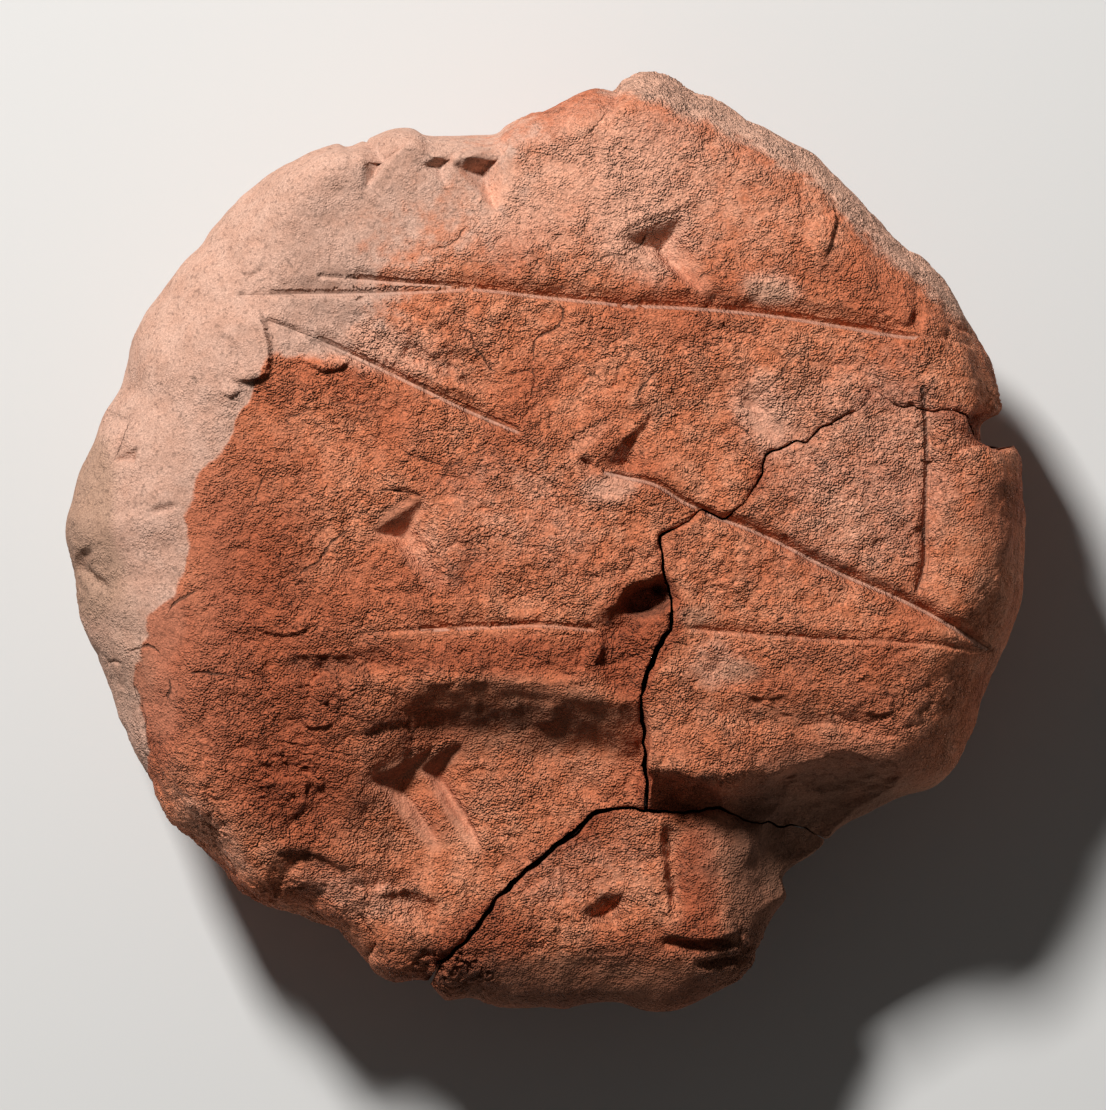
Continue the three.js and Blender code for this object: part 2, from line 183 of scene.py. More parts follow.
# %% The plain front and back
FACE_CROWN = 1.6  # how far the face falls from its middle to its edge,
FACE_RADIUS = 38  # which is this far out
ELLIPSE_WAY = 1.03  # a quarter of an ellipse is a little longer than a round arc
FLAT_SHARE = 0.32  # radius of the flat underneath, as a share of the rim's
FLAT_RINGS = 0.28  # share of the grid's rings that lie in that flat
GRID = 421  # points along one side of the front's grid


def crowned_face(x, y):
    """The face's height: it falls with the square of the distance from the middle."""
    return THICKNESS - SKIN_ROOM - FACE_CROWN * (x**2 + y**2) / FACE_RADIUS**2


def front_surface(out, angle):
    """The face and its shoulder: level and slightly crowned, then a quarter ellipse down to the
    rim. Equal steps of out are equal steps along the surface."""
    radius = rim_radius(angle)
    width = shoulder_width(angle)
    drop = THICKNESS - FACE_CROWN - RIM_HEIGHT
    level = radius - width
    arc = math.pi / 4 * (width + drop) * ELLIPSE_WAY
    along = out * (level + arc)
    turn = np.clip((along - level) / arc, 0, 1) * math.pi / 2
    reach = np.where(along < level, along, level + width * np.sin(turn))
    x, y = reach * np.cos(angle), reach * np.sin(angle)
    z = RIM_HEIGHT + (crowned_face(x, y) - RIM_HEIGHT) * np.cos(turn)
    return np.stack([x, y, z], axis=-1)


def back_surface(out, angle):
    """The domed back: a flat in the middle, then a quarter ellipse up to the rim. The rim's
    bumps fade out on the way down."""
    radius = rim_radius(angle)
    turn = np.clip((out - FLAT_RINGS) / (1 - FLAT_RINGS), 0, 1) * math.pi / 2
    reach = FLAT_SHARE * np.minimum(out / FLAT_RINGS, 1) + (1 - FLAT_SHARE) * np.sin(turn)
    evened = radius + (MEAN_RADIUS - radius) * (1 - np.sin(turn))
    x, y = reach * evened * np.cos(angle), reach * evened * np.sin(angle)
    return np.stack([x, y, RIM_HEIGHT * (1 - np.cos(turn))], axis=-1)


front = front_surface(*square_to_disc(GRID))
back = back_surface(*square_to_disc((GRID + 1) // 2))
steps_out = np.linalg.norm(np.diff(front[:, GRID // 2], axis=0), axis=-1)
print("front points", front.shape[:2], "spacing about", steps_out.mean().round(2), "mm")

# %% [markdown]
# ## Noise
#
# Clay is never smooth. Its lumps, grain and ragged edges all come from one function: gradient
# noise. Space is cut in cubes, each corner gets a random slope, and the slopes of a cube's eight
# corners are blended. A fixed seed gives the same clay each time.

# %% Gradient noise
SEED = 1811
SLOPES = 256  # random slopes to choose from
SHIFT_WAY = np.array([1.0, 1.7, 2.3])  # the way that shift moves the noise, to make it another
NOISE_GAIN = 1.7  # brings the values to about -1 to 1

shuffle = np.random.default_rng(SEED).permutation(SLOPES)
slopes = np.random.default_rng(SEED + 1).normal(size=(SLOPES, 3))
slopes /= np.linalg.norm(slopes, axis=1, keepdims=True)


def noise(p, size, shift=0.0):
    """Smooth random values, about -1 to 1, whose lumps are about size millimetres across."""
    q = p / size + shift * SHIFT_WAY
    cell = np.floor(q).astype(np.int64)
    part = q - cell
    blend = part**3 * (part * (part * 6 - 15) + 10)
    total = np.zeros(p.shape[:-1])
    for corner in np.ndindex(2, 2, 2):
        at = cell + corner
        key = 0
        for axis in range(3):
            key = shuffle[(key + at[..., axis]) & (SLOPES - 1)]
        weight = np.prod(np.where(corner, blend, 1 - blend), axis=-1)
        total += weight * np.sum(slopes[key] * (part - corner), axis=-1)
    return total * NOISE_GAIN


def layered_noise(p, size, layers, shift=0.0):
    """Noise on noise: each layer is half as large and half as strong as the last."""
    return sum(noise(p, size / 2**i, shift + 5 * i) / 2**i for i in range(layers))


def rise(value, low, high):
    """0 below low, 1 above high, and a smooth S between."""
    t = np.clip((value - low) / (high - low), 0, 1)
    return t * t * (3 - 2 * t)


# %% [markdown]
# ## Tools that shape the clay
#
# Each tool is a height over the face, as a function of the place seen from above. A ruled line
# is a furrow with two slopes, a reed's corner leaves a three-sided dent, and a thumb or a chip a
# round hollow. All need the same measurement: how far a point is from a path, on which side.

# %% Distance from a path
OUT_OF_REACH = 10.0  # the distance given to points out of reach, in reaches


def measure(p, path, reach):
    """For points near a path: how far to its left they are (less than 0 is right), and how far
    along it the nearest point is, from 0 to 1. Points out of reach get a large distance."""
    path = np.asarray(path, float)
    near = np.all((p > path.min(axis=0) - reach) & (p < path.max(axis=0) + reach), axis=-1)
    q = p[near]
    best = np.full(len(q), np.inf)
    side = np.full(len(q), np.inf)
    share = np.zeros(len(q))
    lengths = np.linalg.norm(np.diff(path, axis=0), axis=1)
    walked = np.concatenate([[0], np.cumsum(lengths)])
    for a, b, length, before in zip(path[:-1], path[1:], lengths, walked):
        way = (b - a) / length
        t = np.clip((q - a) @ way, 0, length)
        gap = q - a - t[:, None] * way
        distance = np.hypot(gap[:, 0], gap[:, 1])
        closer = distance < best
        cross = way[0] * gap[:, 1] - way[1] * gap[:, 0]
        best = np.where(closer, distance, best)
        side = np.where(closer, np.copysign(distance, cross), side)
        share = np.where(closer, (before + t) / walked[-1], share)
    all_side = np.full(p.shape[:-1], reach * OUT_OF_REACH)
    all_share = np.zeros(p.shape[:-1])
    all_side[near] = side
    all_share[near] = share
    return all_side, all_share


def ends(share, fade):
    """1 along a path, falling to 0 over the last part at both ends."""
    return rise(share, 0, fade) * rise(1 - share, 0, fade)


# %% The tools
LEDGE_FALL = 1.5  # how fast a ledge falls off behind its step


def furrow(p, path, up, down, depth, fade=0.12):
    """A V whose left side is up wide and right side down wide, deepest on the path, and
    narrowing to a point at its ends."""
    side, share = measure(p, path, max(up, down))
    taper = np.maximum(ends(share, fade), 0.02)
    slope = np.where(side > 0, 1 - side / (up * taper), 1 + side / (down * taper))
    return -depth * np.clip(slope, 0, 1) * taper


def channel(p, path, up, down, depth, fade=0.25):
    """The same with a round bottom and round edges: a cosine to each side."""
    side, share = measure(p, path, max(up, down))
    across = np.clip(np.where(side > 0, side / up, -side / down), 0, 1)
    return -depth * (0.5 + 0.5 * np.cos(math.pi * across)) * ends(share, fade)


def dent(p, head_a, head_b, deep, tail, depth):
    """A three-sided pit: on each side, the depth grows in a straight line from the edge
    between two corners to the deepest point."""
    corners = np.array([head_a, head_b, tail], float)
    deep = np.array(deep, float)
    result = np.full(p.shape[:-1], np.inf)
    for a, b in zip(corners, np.roll(corners, -1, axis=0)):
        across = np.array([b[1] - a[1], a[0] - b[0]])
        result = np.minimum(result, ((p - a) @ across) / ((deep - a) @ across))
    return -depth * np.clip(result, 0, 1)


def spot(p, at, half, turn=0.0, edge=0.35):
    """1 inside a turned ellipse and 0 outside it, with a soft edge that is a share wide."""
    c, s = math.cos(math.radians(turn)), math.sin(math.radians(turn))
    dx, dy = p[..., 0] - at[0], p[..., 1] - at[1]
    out = np.hypot((dx * c + dy * s) / half[0], (dy * c - dx * s) / half[1])
    return 1 - rise(out, 1 - edge, 1 + edge)


def hollow(p, at, half, turn, depth, edge=0.8):
    """A spot, depth deep."""
    return -depth * spot(p, at, half, turn, edge)


def ledge(p, path, height, fade, edge=0.12, taper=0.2):
    """A step on the path: the left side stands height above the right, and falls off behind the
    step as an exponential does, until twice the fade distance away."""
    side, share = measure(p, path, fade * 2)
    lifted = rise(side, -edge, edge) * np.exp(-np.clip(side, 0, None) / fade * LEDGE_FALL)
    return height * np.where(np.abs(side) < fade * 2, lifted, 0) * ends(share, taper)


# %% [markdown]
# ## The ruled figure
#
# The pupil drew with the straight edge of the reed, held at a slant. So a ruled line has one
# long gentle side, above it, and one short steep side, below it. The steep side catches the
# light from the top as a thin bright line.

# %% Ruled lines
RULED_LINES = [
    # path, width above, width below, depth
    ([(-25.5, 20.35), (-21.0, 20.43)], 1.2, 0.3, 0.28),
    ([(-23.4, 20.4), (-20, 20.45), (-15, 20.5), (-10, 20.7), (-6, 20.9)], 1.5, 0.3, 0.5),
    ([(-9, 20.8), (-6, 20.9), (0, 20.25), (5, 19.75), (8, 19.35)], 1.2, 0.28, 0.75),
    ([(6, 19.6), (12, 19.35), (18, 18.8), (24, 17.9), (29.5, 17.0), (31.5, 16.9)], 1.5, 0.3, 0.95),
    ([(30.5, 16.95), (33, 16.7), (35.6, 16.1)], 0.9, 0.3, 0.25),
    ([(-18.9, 21.9), (-15.5, 21.67)], 0.8, 0.3, 0.25),
    ([(-16.6, 21.75), (-12, 21.4), (-6, 20.95)], 1.0, 0.3, 0.6),
    ([(-23.2, 18.35), (-19.0, 16.8)], 0.5, 0.7, 0.25),
    ([(-20.3, 17.32), (-15, 15.0), (-10, 12.6), (-6, 10.7), (-1.5, 8.8)], 1.1, 0.8, 0.6),
    ([(4.4, 5.9), (6.5, 5.4), (9, 4.8), (11.5, 3.3), (14.7, 1.9)], 0.8, 0.5, 0.65),
    ([(12.5, 2.7), (18, 0.6), (24, -2.4), (30, -5.0), (33.5, -6.9), (37.4, -9.4)], 0.9, 0.75, 0.9),
    ([(-14.6, -7.5), (-9.0, -7.15)], 1.6, 0.22, 0.3),
    ([(-10.6, -7.24), (-8, -7.1), (-4.6, -6.96)], 2.0, 0.22, 0.6),
    ([(-8.0, -7.1), (-4, -6.95), (0, -6.85), (4.6, -7.3)], 0.7, 0.22, 0.42),
    ([(11.2, -7.1), (15.5, -7.5), (20, -7.8), (25, -8.15)], 0.8, 0.2, 0.35),
    ([(23.5, -8.0), (28, -8.2), (33, -8.6), (37.0, -9.2)], 0.9, 0.25, 0.3),
    ([(30.9, 23), (30.5, 19), (30.8, 16.5)], 0.9, 0.5, 0.22),
    ([(31.1, 13.5), (31.5, 8), (31.3, 2), (31.2, -2), (30.4, -4.8)], 1.3, 0.7, 0.5),
]


def ruled_figure(p):
    """The deepest of all the furrows at each point, so that strokes that cross don't add up."""
    return np.min([furrow(p, smooth_path(path, 6), up, down, depth)
                   for path, up, down, depth in RULED_LINES], axis=0)


print(len(RULED_LINES), "strokes of the reed's edge make the figure")

# %% [markdown]
# ## Stylus dents
#
# The reed's corner leaves a dent with three flat sides: two short ones at its head and one long
# one that runs out in a tail. They stand here as single strokes around the figure.

# %% Dents
DENTS = [
    # one end of the head, the other end, the deepest point, the tail, the depth
    ((-15.2, 33.4), (-11.3, 33.2), (-13.4, 32.0), (-15.0, 28.8), 1.9),
    ((-7.8, 31.1), (-3.0, 33.5), (-5.3, 30.6), (-4.0, 27.0), 2.3),
    ((-10.6, 31.1), (-7.3, 32.6), (-8.9, 31.0), (-8.3, 29.4), 1.2),
    ((5.8, 25.0), (11.2, 27.0), (9.5, 24.2), (13.3, 20.2), 1.9),
    ((-14.3, 0.9), (-9.8, 3.9), (-11.9, 0.4), (-8.2, -4.4), 1.7),
    ((3.7, 5.9), (9.1, 11.1), (6.3, 6.4), (8.4, 5.0), 1.3),
    ((2.2, 7.4), (4.6, 6.3), (3.4, 6.4), (3.2, 4.8), 0.7),
    ((15.0, 12.9), (18.2, 13.2), (17.0, 11.2), (19.4, 7.4), 0.6),
    ((-14.6, -19.5), (-9.3, -16.8), (-12.0, -20.1), (-8.6, -25.6), 1.35),
    ((-11.1, -18.4), (-6.8, -16.4), (-9.1, -19.5), (-5.0, -26.0), 1.5),
    ((-36.6, 10.6), (-33.8, 10.9), (-34.5, 9.9), (-35.9, 6.9), 0.5),
    ((-36.2, 6.6), (-33.5, 8.0), (-34.4, 6.9), (-33.9, 6.4), 0.7),
    ((3.4, -30.9), (6.6, -29.0), (5.0, -30.6), (6.3, -32.6), 0.7),
]


def stylus_dents(p):
    """The deepest of all the dents at each point."""
    return np.min([dent(p, *row) for row in DENTS], axis=0)


print(len(DENTS), "dents")

# %% [markdown]
# ## Hollows, worn places and losses
#
# Below the figure the whole foot of the face was pressed down, steeply at first and then almost
# level, and the rim kept its place. Where the cracks meet, crumbs have fallen out and left a
# hole. The largest loss is at the lower right: a shell-shaped flake went, and took the rim with
# it. It is the inside of an ellipsoid, so the clay there is cut down to the ellipsoid's lower
# half.

# %% Hollows
CHANNELS = [
    # path, width above, width below, depth
    ([(-22.0, -10.0), (-18.5, -10.2), (-15.0, -9.9), (-12.0, -10.4)], 1.5, 1.8, 0.55),
    ([(-33.0, -17.5), (-30.5, -21.0), (-27.5, -24.5), (-24.5, -28.3)], 1.3, 1.3, 0.12),  # by the rim
    ([(9.9, -22.6), (10.3, -26.0), (10.9, -31.5)], 1.7, 0.85, 1.1),  # down the foot
    ([(-36.0, -4.5), (-38.4, -1.8), (-37.2, -0.2)], 0.7, 0.7, 0.5),
    ([(-25.5, -22.5), (-23.0, -26.5), (-21.6, -30.6)], 1.5, 1.5, 0.3),
    ([(13.5, -13.0), (18.0, -14.5), (24.0, -15.0), (30.5, -15.4)], 3.0, 2.2, 0.55),
    ([(9.0, -33.2), (12.5, -33.4), (16.0, -33.0)], 0.7, 0.9, 0.8),
    ([(12.0, -34.9), (14.5, -34.9), (16.8, -34.2)], 0.6, 0.6, 0.6),
    ([(-23.0, 17.6), (-17.5, 17.9), (-9.0, 14.6), (-2.0, 12.2)], 2.4, 1.8, 0.4),
]
HOLLOWS = [
    # middle, half-sizes, turn, depth, softness of the edge
    ((8.4, -4.7), (2.0, 1.25), 12, 2.4, 0.35),  # the hole at the crack
    ((9.4, -3.6), (0.8, 0.7), 60, 1.2, 0.4),
    ((6.6, -6.4), (2.6, 1.2), 25, 1.1, 0.7),
    ((6.2, -10.2), (1.9, 3.2), 8, 0.9, 0.6),
    ((-19.4, -28.0), (2.7, 2.2), -12, 0.9, 0.5),
    ((-11.4, -30.3), (2.9, 1.2), -4, 0.6, 0.7),
    ((11.0, -20.6), (3.1, 1.5), -14, 0.5, 0.3),  # the lost corner of the right fragment
    ((36.9, 9.3), (1.7, 1.2), -40, 1.6, 0.5),  # the loss at the right-hand notch
    ((15.6, -10.8), (1.8, 1.2), -20, 0.5, 0.8),
    ((4.9, -30.6), (1.6, 1.0), 25, 0.75, 0.6),
    ((30.4, 18.3), (0.8, 0.5), 50, 0.5, 0.6),
    ((-31.5, 2.7), (0.9, 0.3), 15, 0.35, 0.6),
    ((3.5, 7.6), (0.9, 0.35), 35, -0.45, 0.7),  # crumbs that stand up
    ((4.2, -8.7), (0.5, 1.0), -20, -0.7, 0.6),
    ((-30.0, -22.0), (3.0, 2.0), 40, -0.5, 0.9),
]


def hollows(p):
    """All the channels and hollows, added up."""
    dips = [channel(p, smooth_path(path, 6), up, down, depth) for path, up, down, depth in CHANNELS]
    dips += [hollow(p, *row) for row in HOLLOWS]
    return np.sum(dips, axis=0)


print(len(CHANNELS), "channels and", len(HOLLOWS), "hollows")

# %% The foot and the break
# The line below which the face falls, and how deep it lies at each distance below that line.
FOOT_TOP = [(-40, -10.8), (-14, -11.3), (-8, -11.4), (-2, -11.8), (3, -12.4), (8, -13.1)]
FOOT_FALL = [
    (-1, 0), (0, 0), (0.4, 0.2), (1.0, 0.85), (3.7, 3.5), (5.6, 4.5), (7.4, 4.95), (9.5, 5.1),
    (30, 5.2),
]
FOOT_BEGINS = (-34, -10)  # x over which the fall grows from nothing to all
FOOT_STRETCH = 1.6  # on the left the fall is drawn out by this much more,
FOOT_GENTLER = (-17, -9)  # and this is where that ends
FOOT_ENDS = (7.7, 8.7)  # x over which it stops: the right fragment was not pressed down,
FOOT_CORNER = (-22.2, -18.8)  # but its lowest corner was, below these y
FOOT_WOBBLE = 0.25  # how far the step's edge wanders,
FOOT_WOBBLE_SIZE = 2.2  # and how large its bends are
BREAK_AT = np.array([25.0, -28.2, 25.6])  # the middle of the break's ellipsoid,
BREAK_HALF = np.array([11.0, 11.2, 11.6])  # and its half-sizes


def foot_drop(p):
    """How far the foot of the face was pressed down: along a curve that falls steeply at first,
    is drawn out on the left, and stops at the crack, except at the right fragment's corner."""
    x, y = p[..., 0], p[..., 1]
    stretch = 1 + FOOT_STRETCH * (1 - rise(x, *FOOT_GENTLER))
    below = (np.interp(x, *np.array(FOOT_TOP).T) - y) / stretch
    fall = np.interp(below, *smooth_path(FOOT_FALL, 8).T)
    return fall * rise(x, *FOOT_BEGINS) * (1 - rise(x, *FOOT_ENDS) * rise(y, *FOOT_CORNER))


def foot_pressed(surface):
    """The surface with its heights over the rim scaled down, so that the rim stays."""
    lowered = surface.copy()
    wobble = FOOT_WOBBLE * layered_noise(surface, FOOT_WOBBLE_SIZE, 3, 15.0)[..., None]
    share = 1 - foot_drop(surface[..., :2] + wobble) / (THICKNESS - RIM_HEIGHT)
    lowered[..., 2] = RIM_HEIGHT + (surface[..., 2] - RIM_HEIGHT) * share
    return lowered


def cut_break(points, ragged):
    """Lowers what is inside the break's ellipsoid to the ellipsoid's lower half."""
    q = (points[..., :2] - BREAK_AT[:2]) / (BREAK_HALF[:2] + ragged[..., None])
    inside = 1 - (q**2).sum(axis=-1)
    floor = BREAK_AT[2] - BREAK_HALF[2] * np.sqrt(np.clip(inside, 0, None))
    lowered = points.copy()
    lowered[..., 2] = np.where(inside > 0, np.minimum(points[..., 2], floor), points[..., 2])
    return lowered


print("the foot is pressed down by up to", max(depth for _, depth in FOOT_FALL), "mm")

# %% [markdown]
# ## Flaked layers
#
# The clay was built up in layers, and a paler slip was smoothed over its left side. Where a
# layer has flaked, its edge is a low step that throws a thin shadow.

# %% Ledges
LEDGES = [
    # path with the raised layer on its left, height, how far the rise reaches
    ([(-26.2, 13.6), (-24.6, 13.2), (-23.2, 13.6), (-22.7, 15.4), (-23.2, 18.0), (-23.8, 19.8)], 0.75, 3.0),
    ([(-20.2, 15.2), (-18.6, 14.2), (-16.8, 14.4), (-16.0, 15.4)], 0.6, 1.5),
    ([(-26.6, 12.6), (-26.0, 11.9), (-25.0, 12.6)], 0.5, 1.2),
    ([(-25.0, 24.8), (-23.6, 24.4), (-23.4, 23.2), (-24.4, 22.2), (-25.6, 22.4)], -0.3, 1.4),
    ([(-24.5, -6.9), (-23.2, -7.3), (-20.4, -7.6), (-19.0, -6.6)], 0.4, 1.6),
    ([(-20.3, -14.9), (-19.0, -15.2), (-17.4, -14.7)], 0.45, 1.4),
    ([(10.8, 18.9), (12.4, 18.8), (13.4, 18.2), (14.4, 18.0), (15.4, 18.5)], 0.35, 1.5),
    ([(-12.0, 15.8), (-10.6, 16.3), (-9.6, 15.4), (-8.0, 15.6)], 0.35, 1.6),
    ([(22.4, 22.0), (23.4, 24.6), (23.6, 27.2), (22.0, 29.2), (19.0, 31.0), (15.5, 33.0)], 0.5, 4.0),
    ([(-13.2, 4.0), (-11.8, 4.5), (-10.0, 3.8)], 0.3, 2.0),
    ([(5.4, 25.0), (7.6, 26.3), (9.9, 27.1), (12.8, 28.2)], 0.35, 2.0),
    ([(-12.5, -11.7), (-6.0, -11.5), (0.0, -11.8), (5.0, -11.2)], 0.25, 2.2),
    ([(-22.8, -25.6), (-19.5, -25.7), (-16.0, -27.2)], 0.45, 2.2),
    ([(-14.6, -29.2), (-11.0, -28.9), (-8.6, -29.9)], 0.35, 1.8),
    ([(20.5, -15.9), (23.0, -15.3), (25.0, -15.6), (27.5, -16.2), (29.4, -16.0)], -0.35, 2.0),
    ([(15.5, -12.2), (17.5, -12.9), (20.0, -12.6)], 0.25, 1.6),
    ([(26.0, -14.1), (27.5, -14.3), (28.8, -13.9)], 0.25, 1.6),
    ([(-22.0, -9.0), (-18.6, -9.5), (-15.4, -9.4)], 0.25, 1.5),
    ([(9.5, -32.4), (13.0, -32.8), (16.4, -32.0)], 0.4, 1.6),
]


def ledges(p):
    """All the ledges, added up."""
    steps = [ledge(p, smooth_path(path, 5), height, fade) for path, height, fade in LEDGES]
    return np.sum(steps, axis=0)


print(len(LEDGES), "ledges")

# %% [markdown]
# ## Cracks
#
# Two cracks part the fragments, and a few hairlines only mark the skin. The two main paths are
# the ones that the CAD model is cut along.

# %% Crack paths
UPPER_CRACK = [
    (38.4, 8.2), (37.0, 8.05), (36.5, 8.2), (36.0, 8.7), (35.3, 9.7), (34.7, 10.5), (34.2, 10.7),
    (33.5, 10.9), (32.0, 10.7), (31.0, 10.9), (30.3, 11.3), (29.5, 11.1), (28.8, 11.2), (27.6, 12.3),
    (26.9, 12.6), (26.8, 11.9), (26.3, 11.3), (25.6, 10.8), (24.2, 10.2), (23.5, 9.7), (22.5, 9.3),
    (22.0, 8.7), (21.5, 8.1), (20.7, 8.3), (20.0, 8.0), (19.4, 7.6), (18.6, 7.5), (18.1, 7.1),
    (17.9, 6.5), (17.8, 5.5), (17.3, 4.6), (16.8, 4.0), (16.3, 3.2), (15.6, 2.6), (15.0, 2.0),
    (14.6, 1.85), (13.3, 2.5), (12.7, 2.7), (11.8, 1.7), (10.8, 1.2), (9.7, 0.7), (9.4, 0.4),
    (9.45, -0.5), (9.6, -1.5), (9.75, -2.7), (10.2, -4.0), (10.4, -5.0), (10.3, -6.5), (10.3, -7.3),
    (9.7, -7.9), (9.2, -8.8), (8.8, -9.8), (8.4, -10.8), (8.1, -11.8), (7.85, -12.8), (7.9, -14.0),
    (8.1, -16.0), (8.2, -18.0), (8.35, -20.0), (8.25, -22.4),
]
LOWER_CRACK = [
    (-10.1, -36.9), (-9.6, -36.4), (-9.2, -35.6), (-9.0, -34.8), (-8.0, -34.1), (-7.4, -33.5),
    (-6.6, -32.9), (-6.2, -32.3), (-5.5, -31.4), (-4.6, -30.3), (-4.1, -29.6), (-3.3, -29.0),
    (-2.6, -28.2), (-1.9, -27.5), (-1.2, -27.0), (-0.5, -26.5), (0.0, -26.0), (0.6, -25.3),
    (1.3, -24.9), (2.2, -24.3), (2.9, -23.7), (3.5, -23.0), (4.0, -22.5), (4.8, -22.4), (6.3, -22.0),
    (7.0, -21.95), (8.0, -22.2), (11.0, -22.3), (12.5, -22.2), (14.3, -21.9), (15.3, -22.4),
    (16.2, -22.8), (17.2, -23.2), (18.5, -23.2), (19.2, -23.7), (20.3, -23.5), (21.5, -23.6),
    (22.3, -24.2), (23.2, -24.7), (23.6, -24.9),
]

# %% Hairline cracks
HAIRLINES = [
    [(-1.9, 8.8), (-0.7, 9.6), (0.2, 10.3), (1.2, 11.0)],
    [(-13.0, 8.5), (-11.0, 7.0), (-8.2, 6.3), (-6.0, 7.2), (-4.0, 8.5)],
    [(5.2, 35.6), (4.6, 34.8), (3.3, 33.5)],
    [(-9.8, 24.0), (-7.5, 24.8), (-6.2, 26.4)],
    [(1.0, 19.9), (1.3, 19.0), (1.0, 17.8), (0.2, 17.2)],
    [(-7.2, 19.4), (-7.7, 18.8), (-8.2, 17.6)],
    [(-15.6, 1.6), (-17.0, 0.5), (-19.0, -1.7), (-21.2, -3.4)],
    [(3.8, 23.0), (5.0, 23.6), (5.9, 23.9)],
    [(6.5, 23.6), (7.7, 24.6), (8.4, 25.6)],
    [(-34.2, 10.2), (-35.0, 8.6), (-35.7, 6.8)],
    [(17.0, 11.5), (19.5, 14.0), (20.2, 15.5)],
    [(31.3, -0.8), (32.0, -0.3), (32.7, 0.4)],
    [(-8.6, -4.1), (-7.0, -3.0), (-6.1, -1.6), (-4.2, -1.0)],
    [(-7.9, 18.0), (-6.9, 17.5), (-6.2, 17.3), (-5.9, 16.2), (-4.9, 14.8), (-3.7, 13.6)],
    [(-3.8, 13.6), (-2.8, 13.8), (-1.9, 14.1), (-1.1, 13.9), (-1.0, 12.9), (-1.2, 11.9)],
    [(1.1, 18.1), (0.2, 17.3), (-0.8, 16.8), (-1.1, 15.4), (-1.1, 13.9)],
    [(-15.8, 19.9), (-15.0, 20.3)],
    [(-10.0, 11.9), (-9.3, 11.8), (-8.6, 12.1)],
    [(-18.2, 11.2), (-17.0, 11.6), (-15.8, 11.4), (-14.4, 11.7)],
    [(-21.6, 10.4), (-20.6, 10.5), (-19.4, 11.0)],
    [(7.3, 11.6), (8.1, 13.2), (9.0, 14.0), (9.6, 14.6)],
    [(12.4, 21.3), (13.0, 21.9), (13.6, 22.4), (13.8, 23.2)],
    [(28.9, 12.3), (28.7, 11.7), (29.4, 11.2)],
    [(15.2, 9.9), (16.0, 9.2), (16.9, 8.6)],
    [(-31.3, -5.9), (-30.6, -5.0), (-29.6, -4.4), (-28.4, -3.9)],
    [(-31.3, -13.2), (-31.0, -12.0), (-31.1, -11.2)],
    [(-36.6, -10.0), (-35.6, -9.9), (-34.8, -10.1)],
    [(-35.0, -9.3), (-32.8, -8.6), (-31.6, -9.4)],
    [(-34.4, -11.2), (-33.6, -13.0), (-32.8, -17.2)],
    [(-29.8, -10.9), (-27.6, -10.8), (-25.8, -11.1)],
    [(-14.2, 4.2), (-12.6, 4.3), (-10.4, 3.8), (-9.6, 3.7)],
    [(-25.5, 1.5), (-24.0, 3.6), (-22.8, 6.2)],
    [(-4.9, 23.6), (-4.1, 24.8), (-3.4, 25.3)],
    [(-1.0, 22.9), (-0.2, 23.4)],
    [(22.0, 22.4), (22.7, 22.2), (23.2, 22.9)],
    [(17.6, 21.6), (18.4, 21.9), (19.3, 21.9)],
]
# Worn lips of the cracks: width on the left and on the right, depth, share that fades out.
MAIN_LIPS = (0.35, 0.3, 0.28, 0.01)
HAIRLINE_LIPS = (0.18, 0.18, 0.2, 0.2)


def crack_groove(p):
    """A narrow V over each crack, wider over the two main ones; the deepest one counts."""
    main = [furrow(p, path, *MAIN_LIPS) for path in (UPPER_CRACK, LOWER_CRACK)]
    fine = [furrow(p, smooth_path(path, 4), *HAIRLINE_LIPS) for path in HAIRLINES]
    return np.min(main + fine, axis=0)


print(len(HAIRLINES), "hairline cracks beside the two main ones")

# %% [markdown]
# ## How rough the clay is
#
# The reed and the thumb left smooth clay behind them, the slip on the left is finely gritty, and
# the bare clay at the lower left is the roughest. One function says how rough each place is.

# %% Roughness
ROUGH_SPOTS = [
    # middle, half-sizes, turn, change
    ((-23.0, -14.0), (11.0, 12.0), 20, 0.35),
    ((-12.0, -32.0), (9.0, 5.0), -20, 0.35),
    ((6.0, -10.0), (2.5, 4.0), 0, 0.4),
    ((-5.0, -33.8), (6.0, 2.4), 10, 0.25),
    ((-9.0, 15.5), (9.0, 3.0), -18, 0.12),
    ((-1.0, -14.5), (10.0, 3.4), -2, -0.5),
    ((-34.0, 8.0), (11.0, 26.0), 10, -0.35),
    ((-10.0, -23.0), (5.0, 3.5), -60, -0.4),
    ((24.0, -25.0), (10.0, 8.0), 0, -0.5),
    ((-17.0, 26.5), (17.0, 9.0), 20, -0.38),
    ((-4.0, 28.0), (8.0, 6.0), 0, -0.12),
    ((2.0, -37.0), (13.0, 2.6), 0, -0.5),
    ((9.0, 29.5), (17.0, 7.0), -8, -0.25),
    ((36.0, -6.0), (5.0, 12.0), -15, -0.3),
]
PLAIN_ROUGHNESS = 0.55  # of the clay away from all these spots
SMOOTHING = 0.7  # the share of it that a fully smooth patch loses
LEAST_ROUGH, MOST_ROUGH = 0.08, 0.9
SMOOTH_EDGE = 0.35  # how soft a smooth patch's edge is, as a share of its size

